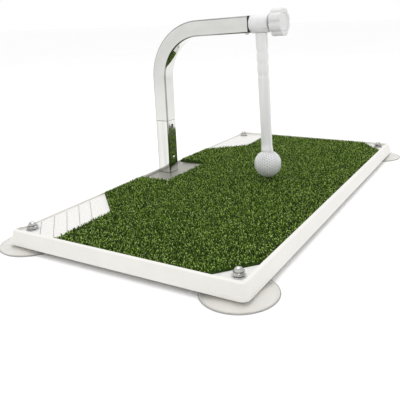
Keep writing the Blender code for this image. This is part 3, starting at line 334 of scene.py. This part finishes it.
def hexagonal_ring(flat, limit, count):
    """Points round a hexagon, never further out than the limit."""
    ring = []
    for i in range(count):
        angle = 2 * math.pi * i / count
        from_flat = (angle + math.pi / 6) % (math.pi / 3) - math.pi / 6
        reach = min(limit, flat / math.cos(from_flat))
        ring.append((reach * math.cos(angle), reach * math.sin(angle)))
    return ring


def rounded_rectangle(half_x, half_y, radius, steps):
    """Points round a rectangle with round corners."""
    points = []
    for corner, (sx, sy) in enumerate([(1, 1), (-1, 1), (-1, -1), (1, -1)]):
        for step in range(steps + 1):
            angle = math.pi / 2 * (corner + step / steps)
            x = sx * (half_x - radius) + radius * math.cos(angle)
            y = sy * (half_y - radius) + radius * math.sin(angle)
            points.append((x, y))
    return points


def add_loft(mesh, rings, closed=False):
    """A body through rings of 3-D points. It is capped at both ends, or its last ring meets its first."""
    loops = [[mesh.verts.new(point) for point in ring] for ring in rings]
    pairs = list(zip(loops, loops[1:] + loops[:1])) if closed else list(zip(loops, loops[1:]))
    for low, high in pairs:
        for i in range(len(low)):
            j = (i + 1) % len(low)
            mesh.faces.new((low[i], low[j], high[j], high[i]))
    if not closed:
        mesh.faces.new(reversed(loops[0]))
        mesh.faces.new(loops[-1])
    return mesh


def add_turned(mesh, profile, place=Matrix.Identity(4), count=64):
    """A body turned about Z from a closed profile of (radius, height) points."""
    rings = []
    for radius, height in profile:
        around = [(0, 0)] if radius == 0 else circle(radius, count)
        rings.append([mesh.verts.new(place @ Vector((x, y, height))) for x, y in around])
    for a, b in zip(rings, rings[1:] + rings[:1]):
        if len(a) == 1 and len(b) == 1:
            continue
        for i in range(count):
            j = (i + 1) % count
            corners = [a[i % len(a)], a[j % len(a)], b[j % len(b)], b[i % len(b)]]
            mesh.faces.new(list(dict.fromkeys(corners)))
    return mesh


def rounded(profile, radius, steps=4):
    """A closed profile with each corner that is off the axis rounded."""
    points = []
    for i, here in enumerate(profile):
        if here[0] == 0:
            points.append(here)
            continue
        corner = Vector(here)
        before = Vector(profile[i - 1]) - corner
        after = Vector(profile[(i + 1) % len(profile)]) - corner
        reach = min(radius, before.length * 0.45, after.length * 0.45)
        start = corner + before.normalized() * reach
        end = corner + after.normalized() * reach
        for step in range(steps + 1):
            t = step / steps
            points.append(tuple(start * (1 - t) ** 2 + corner * 2 * t * (1 - t) + end * t ** 2))
    return points


def cad_copy(node):
    """The CAD node's solid as a bmesh of whole faces."""
    mesh = bmesh.new()
    mesh.from_mesh(frame["nodes"][node].data)
    bmesh.ops.remove_doubles(mesh, verts=mesh.verts, dist=1e-6)
    bmesh.ops.dissolve_limit(mesh, angle_limit=math.radians(1), verts=mesh.verts, edges=mesh.edges)
    return mesh


def softened(node, material, body, bevel=0.0, sharp_degrees=32):
    """The CAD node's own shape with its sharp edges broken."""
    return finish(node, cad_copy(node), material, body, sharp_degrees, bevel)


def cut(target, mesh):
    """Cuts a closed mesh out of a piece, and applies the cut."""
    data = bpy.data.meshes.new("cutter")
    bmesh.ops.recalc_face_normals(mesh, faces=mesh.faces)
    mesh.to_mesh(data)
    mesh.free()
    cutter = bpy.data.objects.new("cutter", data)
    bpy.context.scene.collection.objects.link(cutter)
    modifier = target.modifiers.new("cut", "BOOLEAN")
    modifier.operation = "DIFFERENCE"
    modifier.object = cutter
    bpy.context.view_layer.update()
    evaluated = target.evaluated_get(bpy.context.evaluated_depsgraph_get())
    result = bpy.data.meshes.new_from_object(evaluated)
    target.modifiers.remove(modifier)
    target.data = result
    bpy.data.objects.remove(cutter)


# ---------------------------------------------------------------- tray, cups and acorn nuts

def make_tray():
    """The moulded tray. Its pads have a fine texture, and its grooves are coloured darker as painted shade.
    """
    tray = softened("base_tray", TRAY_PLASTIC, "base", 0.0004, 30)
    tray.data.materials.append(TRAY_PAD)
    tray.data.materials.append(TRAY_GROOVE_SHADE)
    pad_top = TRAY_TOP - PAD_DROP
    pocket = pad_top - TURF_POCKET
    inside_rim = TURF_HIGH.x + 0.001
    for face in tray.data.polygons:
        middle = face.center
        in_groove = pocket + 0.0003 < middle.z < pad_top - 0.0002
        if abs(middle.z - pad_top) < 0.0001 and face.normal.z > 0.9:
            face.material_index = 1
        elif in_groove and abs(middle.x) < inside_rim and middle.y > 0:
            # the grooves get the painted shade material
            face.material_index = 2


def add_shade(piece, values):
    """Stores the shade of each point, which a shaded surface turns into colour."""
    attribute = piece.data.attributes.new("shade", "FLOAT", "POINT")
    attribute.data.foreach_set("value", values)


def cup_shade(reach):
    """Pale over the skin, and darker through the lip and through the bead just inside it, as painted shade.
    """
    lip = 0.85 * min(max((reach - 0.962) / 0.02, 0), 1)
    bead = 0.40 if 0.918 < reach < 0.935 else 0.0
    return 0.15 + max(lip, bead)


def cup_profile(radius, top):
    """A cup's section as (radius, height) points: up the outside, then down the bore and the hollow."""
    seat = CUP_DOME + 0.0010
    ceiling = CUP_DOME - CUP_WALL
    return [
        (radius, 0.0003), (radius, 0.0012), (radius - 0.0007, 0.0015), (radius - 0.0022, 0.0013),
        (radius - 0.0032, 0.0011), (radius * 0.86, 0.00155), (radius * 0.80, 0.0021),
        (radius * 0.70, 0.0030), (radius * 0.60, 0.0038), (radius * 0.50, 0.0045),
        (radius * 0.38, 0.0052), (CUP_NECK + 0.0015, CUP_DOME), (CUP_NECK, CUP_DOME + 0.0004),
        (CUP_NECK, top), (STUD_BORE, top), (STUD_BORE, seat), (STUD_HEAD, seat), (STUD_HEAD, ceiling),
        (0, ceiling), (0, ceiling - CUP_WALL), (radius * 0.50, 0.0028), (radius * 0.70, 0.0013),
        (radius * 0.80, 0.0006), (radius * 0.90, 0.0002), (radius - 0.0028, 0.0), (radius - 0.0003, 0.0)]


def make_cups():
    """Soft cups pressed to the floor. Their skin is thin, and their lip is a little thicker."""
    for corner in CORNERS:
        node = f"suction_cup_{corner}"
        low, high, middle = box(node)
        radius = (high.x - low.x) / 2
        place = Matrix.Translation((middle.x, middle.y, 0))
        mesh = add_turned(bmesh.new(), rounded(cup_profile(radius, high.z), 0.0006, 2), place, 96)
        cup = finish(node, mesh, CUP_PVC, "base", 60)
        reaches = [(Vector(vertex.co.xy) - middle.xy).length / radius for vertex in cup.data.vertices]
        # painted shade: darker through the lip and the bead
        add_shade(cup, [cup_shade(reach) for reach in reaches])


def acorn_nut_rings(bottom, top):
    """Outlines and heights, from the bore over a hexagon with soft edges and a neck to the dome."""
    corner = NUT_FLAT / math.cos(math.pi / 6)
    dome = NUT_FLAT * 0.82
    shoulder = bottom + NUT_BODY
    dome_start = shoulder + 0.0004
    rise = top - dome_start
    bore = circle(STUD_BORE, NUT_POINTS)

    def hexagon(share, limit):
        return hexagonal_ring(NUT_FLAT * share, limit, NUT_POINTS)

    rings = [
        (bore, bottom + 0.0043), (bore, bottom), (hexagon(0.94, NUT_FLAT), bottom),
        (hexagon(1, corner * 0.985), bottom + 0.0004), (hexagon(1, corner), bottom + 0.0008),
        (hexagon(1, corner), shoulder - 0.0008), (hexagon(1, corner * 0.97), shoulder - 0.0003),
        (hexagon(0.97, NUT_FLAT), shoulder), (circle(dome - 0.0006, NUT_POINTS), shoulder - 0.0003),
        (circle(dome, NUT_POINTS), dome_start)]
    for step in range(1, 11):
        turn = math.pi / 2 * step / 10.6
        rings.append((circle(dome * math.cos(turn), NUT_POINTS), dome_start + rise * math.sin(turn)))
    return rings


def make_acorn_nuts():
    """One domed nut on each cup's stud."""
    for corner in CORNERS:
        node = f"acorn_nut_{corner}"
        low, high, middle = box(node)
        rings = acorn_nut_rings(low.z, high.z)
        solid = [[(middle.x + x, middle.y + y, z) for x, y in ring] for ring, z in rings]
        finish(node, add_loft(bmesh.new(), solid), NUT_STEEL, "base", 28)


# ---------------------------------------------------------------- post and mast

def add_tube(mesh, frames, width):
    """A square tube through frames of (centre, across, outward), open at both ends."""
    half = width / 2
    steps = 8
    outer = rounded_rectangle(half, half, TUBE_CORNER, steps)
    inner = rounded_rectangle(half - TUBE_WALL, half - TUBE_WALL, TUBE_CORNER - TUBE_WALL, steps)
    lip = rounded_rectangle(half - TUBE_LIP, half - TUBE_LIP, TUBE_CORNER - TUBE_LIP, steps)

    def ring(outline, frame_of, shift=0):
        centre, across, outward = frame_of
        along = across.cross(outward)
        return [centre + across * u + outward * v + along * shift for u, v in outline]

    rings = [ring(lip, frames[0]), ring(outer, frames[0], TUBE_LIP)]
    rings += [ring(outer, frame_of) for frame_of in frames[1:-1]]
    rings += [ring(outer, frames[-1], -TUBE_LIP), ring(lip, frames[-1])]
    rings += [ring(inner, frame_of) for frame_of in reversed(frames)]
    return add_loft(mesh, rings, closed=True)


def darken_corners(tube):
    """The tight corners of a polished square tube are coloured darker than its sides, as a painted dark
    reflection.
    """
    tube.data.materials.append(CHROME_CORNER_REFLECTION)
    for face in tube.data.polygons:
        sideways = abs(face.normal.x)
        if 0.22 < sideways < 0.975:
            # corner faces get the painted dark reflection
            face.material_index = 1


def upright(x, y, low, high):
    """Frames for a tube that stands upright."""
    return [(Vector((x, y, z)), Vector((1, 0, 0)), Vector((0, 1, 0))) for z in (low, high)]


def make_post():
    """The post, with a row of height holes through its front wall."""
    width = POST_HIGH.x - POST_LOW.x
    mesh = add_tube(bmesh.new(), upright(POST.x, POST.y, POST_LOW.z, POST_HIGH.z), width)
    post = finish("lower_post", mesh, CHROME_POST, "base", 30)
    first_hole = box("snap_button")[2].z
    for index in range(HOLE_COUNT):
        centre = Vector((POST.x, POST.y, first_hole + HOLE_PITCH * index))
        place = Matrix.Translation(centre) @ Matrix.Rotation(math.pi / 2, 4, "X")
        rings = [[place @ Vector((x, y, z)) for x, y in circle(HOLE_RADIUS, 40)] for z in (0.006, width)]
        cut(post, add_loft(bmesh.new(), rings))
    post.data.shade_smooth()
    post.data.set_sharp_from_angle(angle=math.radians(30))
    darken_corners(post)


def make_mast():
    """The bent tube: up from its lower end, round the bend, and along the arm to the hub."""
    low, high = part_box("upper_mast")
    turn = math.pi / 2 - ARM_RISE
    bend_y = POST.y - BEND_RADIUS
    arc_end_y = bend_y + BEND_RADIUS * math.cos(turn)
    line_z = HUB.z - (arc_end_y - HUB.y) * math.tan(ARM_RISE)
    bend_z = line_z - BEND_RADIUS * math.sin(turn)
    across = Vector((1, 0, 0))
    frames = [(Vector((POST.x, POST.y, low.z)), across, Vector((0, 1, 0)))]
    for step in range(BEND_STEPS + 1):
        angle = turn * step / BEND_STEPS
        outward = Vector((0, math.cos(angle), math.sin(angle)))
        frames.append((Vector((0, bend_y, bend_z)) + outward * BEND_RADIUS, across, outward))
    arm_end = HUB + FORWARD * stations("upper_mast")[1]
    frames.append((arm_end, across, frames[-1][2]))
    mesh = add_tube(bmesh.new(), frames, high.x - low.x)
    darken_corners(finish("upper_mast", mesh, CHROME, "mast", 30))


def make_button():
    """The snap button: a flange behind the wall, and a nose with a round end."""
    low, high, middle = box("snap_button")
    flange = BUTTON_RADIUS + 0.0012
    length = high.y - low.y
    nose = 0.0016
    profile = [(0, 0), (flange, 0), (flange, 0.001), (BUTTON_RADIUS, 0.001), (BUTTON_RADIUS, length - nose)]
    steps = 8
    for step in range(1, steps):
        turn = math.pi / 2 * step / steps
        profile.append((BUTTON_RADIUS * math.cos(turn), length - nose * (1 - math.sin(turn))))
    profile.append((0, length))
    place = Matrix.Translation((middle.x, high.y, middle.z)) @ Matrix.Rotation(math.pi / 2, 4, "X")
    finish("snap_button", add_turned(bmesh.new(), profile, place, 48), CHROME, "snap_button")


def make_insert():
    """The smaller tube that slides in the post, coloured dark as painted shade seen through the post's holes.
    """
    softened("mast_insert", DULL_ZINC_PAINTED_SHADE, "mast", 0.0002)


def make_spring():
    """A leaf spring, which gives way towards the tube's rear wall as the button is pressed; here it keeps its
    CAD shape.
    """
    spring = softened("snap_spring", PLATE_STEEL, "mast")
    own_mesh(spring)


# ---------------------------------------------------------------- hub, strap and ball

def make_hub():
    """The hub, with a seat for a bush's flange in each end."""
    rear, front = stations("swing_hub")
    rear_seat = rear + BUSH_SEAT_DEPTH
    front_seat = front - BUSH_SEAT_DEPTH
    profile = [
        (HUB_BORE, rear_seat), (BUSH_SEAT_RADIUS, rear_seat), (BUSH_SEAT_RADIUS, rear),
        (HUB_RADIUS, rear), (HUB_RADIUS, front), (BUSH_SEAT_RADIUS, front),
        (BUSH_SEAT_RADIUS, front_seat), (HUB_BORE, front_seat)]
    mesh = add_turned(bmesh.new(), rounded(profile, 0.0012), AT_HUB, 96)
    finish("swing_hub", mesh, HUB_PLASTIC, "swing_arm")


def strap_section(share, distance):
    """Half thickness and half width of the strap, narrowed at its three waists."""
    thickness = STRAP_THICKNESS - STRAP_TAPER * share
    nearest = min(abs(distance - waist) for waist in WAIST_DISTANCES)
    waist = WAIST_DEPTH * max(0.0, 1 - nearest / WAIST_REACH) ** 1.5
    return thickness / 2 - waist, STRAP_HALF_WIDTH - waist


def make_strap():
    """A loft down the strap: saddle on the hub, shaft with three waists, and a flare on the ball."""
    ball_distance = (HUB - ball_centre()).length
    saddle = HUB_RADIUS + SEAT_GAP
    room = BALL_RADIUS + SEAT_GAP
    steps = 8
    end = ball_distance - BALL_RADIUS
    flare_start = end - 0.012
    rings = []

    def outline(half_x, half_y, roundness):
        return rounded_rectangle(half_x, half_y, half_x * roundness, steps)

    def flat_ring(distance, points):
        rings.append([(x, y, -distance) for x, y in points])

    def on_hub(points):
        rings.append([(x, y, -math.sqrt(saddle ** 2 - x ** 2)) for x, y in points])

    def on_ball(points):
        rings.append([(x, y, math.sqrt(room ** 2 - x ** 2 - y ** 2) - ball_distance) for x, y in points])

    # tongue in the hub, and the saddle under it
    tongue = outline(0.0035, 0.0065, 0.25)
    flat_ring(0.0082, tongue)
    on_hub(tongue)
    on_hub(outline(0.0046, 0.0083, 0.7))

    # shaft
    half_x, half_y = strap_section(0, 0.014)
    flat_ring(STRAP_START, outline(half_x, half_y, STRAP_ROUNDNESS))
    shaft_start = STRAP_START + 0.0008
    shaft_rings = 110
    for step in range(1, shaft_rings + 1):
        distance = shaft_start + (flare_start - shaft_start) * step / shaft_rings
        half_x, half_y = strap_section((distance - STRAP_START) / (end - STRAP_START), distance)
        flat_ring(distance, outline(half_x, half_y, STRAP_ROUNDNESS))

    # flare
    flare_rings = 9
    for step in range(1, flare_rings):
        t = step / flare_rings
        swell = STRAP_FLARE * t ** 2.2
        shape = outline(half_x + swell, half_y + swell * 0.5, STRAP_ROUNDNESS + 0.3 * t)
        flat_ring(flare_start + 0.0106 * t, shape)

    # seat on the ball, and the tang in its bore
    around = circle(1.0, 4 * (steps + 1), 0.5)
    on_ball([(x * (half_x + STRAP_FLARE), y * (half_y + STRAP_FLARE / 2)) for x, y in around])
    on_ball([(x * 0.0046, y * 0.0046) for x, y in around])
    flat_ring(end + 0.012, [(x * 0.0040, y * 0.0040) for x, y in around])
    mesh = add_loft(bmesh.new(), rings)
    mesh.transform(Matrix.Translation(HUB) @ Matrix.Rotation(-ARM_RISE, 4, "X"))
    finish("swing_strap", mesh, STRAP_PLASTIC, "swing_arm", 50)


def ball_centre():
    """The ball's centre: its bores are on the strap's line, so its lowest point gives its place."""
    lowest = box("golf_ball")[0].z
    strap_line = FORWARD.cross(Vector((1, 0, 0))).normalized()
    if strap_line.z > 0:
        strap_line = -strap_line
    down = (lowest + BALL_RADIUS - HUB.z) / strap_line.z
    return HUB + strap_line * down


def dimple_directions(frequency=6):
    """Evenly spread directions: the points of an icosahedron with divided faces."""
    golden = (1 + math.sqrt(5)) / 2
    edge_limit = 2.1           # the icosahedron's edges are 2 long
    corners = []
    for a in (-1, 1):
        for b in (-golden, golden):
            corners += [(0, a, b), (a, b, 0), (b, 0, a)]
    corners = [Vector(corner) for corner in corners]
    found = set()
    for i, a in enumerate(corners):
        for j, b in enumerate(corners[:i]):
            for c in corners[:j]:
                if max((a - b).length, (b - c).length, (a - c).length) > edge_limit:
                    continue
                for u in range(frequency + 1):
                    for v in range(frequency + 1 - u):
                        point = (a * u + b * v + c * (frequency - u - v)).normalized()
                        found.add(tuple(round(value, 5) for value in point))
    return np.array(sorted(found))


def make_ball():
    """A ball with real dimples, a bore for the strap's tang above and a screw pocket below."""
    rows, columns = 150, 300
    low_turn = math.asin(SCREW_POCKET / BALL_RADIUS)
    high_turn = math.pi - math.asin(TANG_BORE / BALL_RADIUS)
    turns = np.linspace(low_turn, high_turn, rows)
    angles = np.arange(columns) * 2 * math.pi / columns
    directions = np.stack([
        np.outer(np.sin(turns), np.cos(angles)), np.outer(np.sin(turns), np.sin(angles)),
        np.outer(-np.cos(turns), np.ones(columns))], axis=-1)
    cosines = directions.reshape(-1, 3) @ dimple_directions().T
    away = np.arccos(np.clip(cosines.max(axis=1), -1, 1)).reshape(rows, columns) * BALL_RADIUS
    depth = DIMPLE_DEPTH * np.clip(1 - (away / DIMPLE_RADIUS) ** 2, 0, None) ** 0.75
    reach = BALL_RADIUS - depth
    reach[0] = reach[-1] = BALL_RADIUS
    points = directions * reach[..., None]
    rings = [[tuple(point) for point in row] for row in points]

    tang_floor = BALL_RADIUS - TANG_DEPTH
    head_seat = SCREW_POCKET_DEPTH - BALL_RADIUS
    bores = [
        (TANG_BORE, tang_floor), (SCREW_BORE, tang_floor), (SCREW_BORE, head_seat),
        (SCREW_POCKET, head_seat)]
    for radius, height in bores:
        rings.append([(radius * math.cos(angle), radius * math.sin(angle), height) for angle in angles])
    mesh = add_loft(bmesh.new(), rings, closed=True)
    mesh.transform(Matrix.Translation(ball_centre()) @ Matrix.Rotation(-ARM_RISE, 4, "X"))
    ball = finish("golf_ball", mesh, BALL_COVER, "swing_arm", 60)
    shade = np.zeros(len(ball.data.vertices))
    # painted shade: the deeper a point lies in a dimple, the darker it is
    shade[:rows * columns] = (depth / DIMPLE_DEPTH).ravel()
    add_shade(ball, shade)


# ---------------------------------------------------------------- knob and small parts

def lobed(radius, depth, count=192, lobes=8):
    """A circle of points with evenly spaced hollows between its lobes."""
    points = []
    for i in range(count):
        angle = 2 * math.pi * i / count
        wave = 0.5 + 0.5 * math.cos(lobes * angle)
        reach = radius - depth * wave ** 3
        points.append((reach * math.cos(angle), reach * math.sin(angle)))
    return points


def make_knob():
    """The lobed knob: a neck at its rear, round edges, and a pocket for its cap in front."""
    rear, front = stations("clamp_knob")
    body = rear + KNOB_NECK
    rear_round, front_round = 0.0020, 0.0022
    rings = [
        (lobed(KNOB_BORE, 0), rear), (lobed(0.0104, 0), rear), (lobed(0.0108, 0), rear + 0.0004),
        (lobed(0.0108, 0), body - 0.0006), (lobed(0.0114, 0), body)]
    for step in range(7):
        turn = math.pi / 2 * step / 6
        radius = KNOB_RADIUS - rear_round * (1 - math.sin(turn))
        rings.append((lobed(radius, KNOB_LOBE_DEPTH), body + rear_round * (1 - math.cos(turn))))
    for step in range(9):
        turn = math.pi / 2 * step / 8
        radius = KNOB_RADIUS - front_round * (1 - math.cos(turn))
        rings.append((lobed(radius, KNOB_LOBE_DEPTH), front - front_round * (1 - math.sin(turn))))
    pocket = front - KNOB_CAP_POCKET
    rings += [
        (lobed(0.0137, 0), front), (lobed(0.0132, 0), front - 0.0004), (lobed(0.0131, 0), pocket),
        (lobed(KNOB_BORE, 0), pocket)]
    solid = [[AT_HUB @ Vector((x, y, station)) for x, y in ring] for ring, station in rings]
    mesh = add_loft(bmesh.new(), solid, closed=True)
    finish("clamp_knob", mesh, KNOB_PLASTIC, "clamp_knob", 35)


def on_axis(profile, rounding, count=64):
    """A body turned about the hub's axis."""
    return add_turned(bmesh.new(), rounded(profile, rounding), AT_HUB, count)


def make_front_washer():
    """The washer between the hub and the knob."""
    rear, front = stations("front_washer")
    profile = [
        (AXLE_BORE, rear), (FRONT_WASHER_RADIUS, rear), (FRONT_WASHER_RADIUS, front), (AXLE_BORE, front)]
    finish("front_washer", on_axis(profile, 0.0003), ZINC, "mast")


def make_knob_cap():
    """A cap with a shallow dish in its face."""
    rear, front = stations("knob_cap")
    dish = front - 0.0005
    profile = [
        (0, rear), (KNOB_CAP_RADIUS, rear), (KNOB_CAP_RADIUS, front), (0.0098, front), (0.0092, dish),
        (0, dish)]
    finish("knob_cap", on_axis(profile, 0.0004, 96), KNOB_PLASTIC, "clamp_knob", 28)


def make_bushes():
    """Two flanged bushes, each with its flange at its own end of the hub."""
    for node, direction in (("hub_bush_rear", 1), ("hub_bush_front", -1)):
        low, high = stations(node)
        end, nose = (low, high) if direction > 0 else (high, low)
        shoulder = end + direction * BUSH_FLANGE_DEPTH
        profile = [
            (AXLE_BORE, end), (BUSH_FLANGE, end), (BUSH_FLANGE, shoulder), (BUSH_RADIUS, shoulder),
            (BUSH_RADIUS, nose), (AXLE_BORE, nose)]
        finish(node, on_axis(profile, 0.0003), NYLON, "swing_arm")


def make_base_parts():
    """The plate and the fasteners of the base, in their CAD shape with the larger edges broken."""
    softened("mast_plate", PLATE_STEEL, "base", 0.0003)
    for corner in CORNERS:
        softened(f"cup_washer_{corner}", ZINC, "base", 0.0002)
        softened(f"cup_stud_{corner}", ZINC, "base")
    for number in range(1, 5):
        softened(f"plate_screw_{number}", ZINC, "base")
        softened(f"plate_nut_{number}", ZINC, "base")


def make_moving_parts():
    """Parts of the arm, the strap and the knob, in their CAD shape."""
    softened("arm_end_plug", BLACK_PLASTIC, "mast", 0.0003)
    softened("plug_screw", ZINC, "mast")
    softened("axle_bolt", ZINC, "mast")
    softened("strap_pin", ZINC, "swing_arm")
    softened("ball_screw", ZINC, "swing_arm")
    softened("knob_insert", BRASS, "clamp_knob")


# ---------------------------------------------------------------- turf

def turf_region():
    """The turf's outline from the CAD node: the corners of its top face, in order."""
    data = cad_copy("turf_mat")
    top = max((face for face in data.faces if face.normal.z > 0.9), key=lambda face: face.calc_area())
    outline = [(vertex.co.x, vertex.co.y) for vertex in (loop.vert for loop in top.loops)]
    data.free()
    return outline


def inside(outline, x, y):
    """For each point, whether it is inside the outline."""
    found = np.zeros(len(x), bool)
    for (ax, ay), (bx, by) in zip(outline, outline[1:] + outline[:1]):
        crosses = (ay > y) != (by > y)
        with np.errstate(divide="ignore", invalid="ignore"):
            at = ax + (y - ay) * (bx - ax) / (by - ay if by != ay else 1.0)
        found ^= crosses & (x < at)
    return found


def inset(outline, distance):
    """An anticlockwise outline moved inwards, with mitred corners."""
    moved = []
    for i, here in enumerate(outline):
        point = Vector(here)
        first = (point - Vector(outline[i - 1])).normalized()
        second = (Vector(outline[(i + 1) % len(outline)]) - point).normalized()
        normal_a = Vector((-first.y, first.x))
        normal_b = Vector((-second.y, second.x))
        moved.append(tuple(point + (normal_a + normal_b) / (1 + normal_a.dot(normal_b)) * distance))
    return moved


def fibre_roots(outline):
    """Places on a jittered grid, inside the turf's outline."""
    xs = np.arange(TURF_LOW.x, TURF_HIGH.x, FIBRE_SPACING)
    ys = np.arange(TURF_LOW.y, TURF_HIGH.y, FIBRE_SPACING)
    x, y = (grid.ravel() for grid in np.meshgrid(xs, ys))
    x = x + random.uniform(-0.5, 0.5, len(x)) * FIBRE_SPACING
    y = y + random.uniform(-0.5, 0.5, len(y)) * FIBRE_SPACING
    keep = inside(inset(outline, 0.0001), x, y)
    return x[keep], y[keep]


def fibre_points(x, y):
    """Five points for each fibre: two at its root, two at its bend and one at its tip."""
    count = len(x)
    heading = random.uniform(0, 2 * math.pi, count)
    lean = random.uniform(0.0010, 0.0030, count)
    tip_x = x + lean * np.cos(heading)
    tip_y = y + lean * np.sin(heading)
    past_side = np.abs(tip_x) > TURF_HIGH.x + FIBRE_OVERHANG
    past_front = tip_y < TURF_LOW.y - FIBRE_OVERHANG
    past_rear = tip_y > TURF_HIGH.y
    heading = np.where(past_side | past_front | past_rear, heading + math.pi, heading)
    curl = random.uniform(-0.6, 0.6, count)
    half_width = random.uniform(0.00035, 0.00062, count)
    root = np.full(count, TURF_HIGH.z - PILE - 0.0004)
    top = TURF_HIGH.z - random.uniform(0.0, 0.0016, count)
    droop = random.uniform(0.0, 0.0009, count)

    def edge(reach, height, turn):
        side_x = -np.sin(turn) * half_width
        side_y = np.cos(turn) * half_width
        centre_x = x + reach * np.cos(turn)
        centre_y = y + reach * np.sin(turn)
        return [np.stack([centre_x - side_x, centre_y - side_y, height], axis=1),
                np.stack([centre_x + side_x, centre_y + side_y, height], axis=1)]

    tip_turn = heading + curl
    tip = np.stack([x + lean * np.cos(tip_turn), y + lean * np.sin(tip_turn), top - droop], axis=1)
    points = [*edge(0.0, root, heading), *edge(lean * 0.45, top, heading + curl * 0.4), tip]
    return np.stack(points, axis=1).reshape(-1, 3)


def fibre_faces(count):
    """A quad from root to bend and a triangle to the tip, for each fibre."""
    start = np.arange(count) * 5
    quads = np.stack([start, start + 1, start + 3, start + 2], axis=1)
    tips = np.stack([start + 2, start + 3, start + 4], axis=1)
    return [*quads.tolist(), *tips.tolist()]


def fibre_shade(count):
    """Each fibre is dark, middling or pale, and all of them are darker at the root as painted shade, and a
    little lighter at the tip as painted light.
    """
    kind = random.random(count)
    tone = np.where(kind < 0.42, random.uniform(0.06, 0.30, count), random.uniform(0.34, 0.66, count))
    tone = np.where(kind > 0.76, random.uniform(0.80, 1.0, count), tone)
    # painted shade at the root and bend, a little painted light at the tip
    painted_shade_along_fibre = np.array([0.10, 0.10, 0.92, 0.92, 1.05])
    return np.clip(tone[:, None] * painted_shade_along_fibre[None, :], 0, 1).ravel()


def fibre_uv(count):
    """Each fibre's own cell in the texture, below the strip that the backing takes."""
    used = 0.94
    across = math.ceil(math.sqrt(count))
    cell = used / across
    corner_u = (np.arange(count) % across) * cell / used
    corner_v = (np.arange(count) // across) * cell
    in_cell = np.array([(0.2, 0.1), (0.8, 0.1), (0.2, 0.6), (0.8, 0.6), (0.5, 0.9)])
    u = corner_u[:, None] + in_cell[None, :, 0] * cell
    v = corner_v[:, None] + in_cell[None, :, 1] * cell
    quad_uv = np.stack([u[:, [0, 1, 3, 2]], v[:, [0, 1, 3, 2]]], axis=2).reshape(-1, 2)
    tip_uv = np.stack([u[:, [2, 3, 4]], v[:, [2, 3, 4]]], axis=2).reshape(-1, 2)
    return np.concatenate([quad_uv, tip_uv])


def backing(outline):
    """The slab under the fibres: its points, its faces, and their place in the texture."""
    points = np.array([(x, y, z) for z in (TURF_LOW.z, TURF_HIGH.z - PILE) for x, y in outline])
    sides = len(outline)
    faces = []
    for i in range(sides):
        j = (i + 1) % sides
        faces.append([i, j, sides + j, sides + i])
    faces.append(list(reversed(range(sides))))
    faces.append([sides + i for i in range(sides)])
    share = (points - np.array(TURF_LOW)) / np.array(TURF_HIGH - TURF_LOW)
    place = [(0.02 + 0.96 * x, 0.95 + 0.045 * y) for x, y, _ in share]
    uv = [place[index] for face in faces for index in face]
    return points, faces, uv


def make_turf():
    """A backing with short curled fibres. Each fibre is a bent, tapered strip with its own shade."""
    outline = turf_region()
    x, y = fibre_roots(outline)
    count = len(x)
    fibres = fibre_points(x, y)
    shade = fibre_shade(count)
    slab, slab_faces, slab_uv = backing(outline)
    faces = fibre_faces(count)
    faces += [[len(fibres) + index for index in face] for face in slab_faces]

    data = bpy.data.meshes.new("turf")
    data.from_pydata(np.concatenate([fibres, slab]).tolist(), [], faces)
    uv = np.concatenate([fibre_uv(count), slab_uv])
    data.uv_layers.new(name="OFBake").data.foreach_set("uv", uv.ravel())
    data.materials.append(TURF_FIBRE)
    turf = bpy.data.objects.new("turf_mat_piece", data)
    bpy.context.scene.collection.objects.link(turf)
    add_shade(turf, np.concatenate([shade, np.full(len(slab), 0.16)]))
    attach(turf, "base")
    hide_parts("turf_mat")


# ---------------------------------------------------------------- stage, lights and camera

def make_stage():
    """A wide white floor under a plain white sky."""
    reach = 40.0
    corners = [(-reach, -reach, 0), (reach, -reach, 0), (reach, reach, 0), (-reach, reach, 0)]
    data = bpy.data.meshes.new("floor")
    data.from_pydata(corners, [], [(0, 1, 2, 3)])
    data.materials.append(FLOOR_WHITE)
    floor = bpy.data.objects.new("floor", data)
    bpy.context.scene.collection.objects.link(floor)

    world = bpy.data.worlds.new("studio")
    world.use_nodes = True
    background = world.node_tree.nodes["Background"]
    background.inputs["Color"].default_value = (1, 1, 1, 1)
    background.inputs["Strength"].default_value = 1.0
    bpy.context.scene.world = world
    bpy.context.scene.view_settings.view_transform = "Standard"


def make_light():
    """One soft square light, high above the mat."""
    place = Vector((0.15, 0.2, 1.9))
    target = Vector((0, 0, 0.1))
    data = bpy.data.lights.new("top", "AREA")
    data.shape = "SQUARE"
    data.size = 1.2
    data.energy = 10.5
    light = bpy.data.objects.new("top", data)
    light.location = place
    light.rotation_euler = (target - place).to_track_quat("-Z", "Y").to_euler()
    bpy.context.scene.collection.objects.link(light)


def make_camera():
    """A camera beyond the mat's left end, which looks down along it and across it."""
    heading = math.radians(29.3554)     # anticlockwise from +X
    pitch = math.radians(15.4329)       # downwards
    roll = math.radians(-1.8090)
    place = Vector((-0.73361, -0.37616, TRAY_TOP + 0.24628))
    data = bpy.data.cameras.new("camera")
    data.sensor_width = 36
    data.lens = 47.12
    data.shift_x = -0.0565
    data.shift_y = -0.0849
    data.clip_start = 0.01
    camera = bpy.data.objects.new("camera", data)
    turn = Matrix.Rotation(heading - math.pi / 2, 4, "Z")
    tilt = Matrix.Rotation(math.pi / 2 - pitch, 4, "X")
    camera.matrix_world = Matrix.Translation(place) @ turn @ tilt @ Matrix.Rotation(roll, 4, "Z")
    bpy.context.scene.collection.objects.link(camera)
    bpy.context.scene.camera = camera


make_camera()
make_tray()
make_turf()
make_cups()
make_acorn_nuts()
make_post()
make_mast()
make_button()
make_base_parts()
make_insert()
make_spring()
make_moving_parts()
make_front_washer()
make_knob_cap()
make_bushes()
make_hub()
make_strap()
make_ball()
make_knob()
make_stage()
make_light()
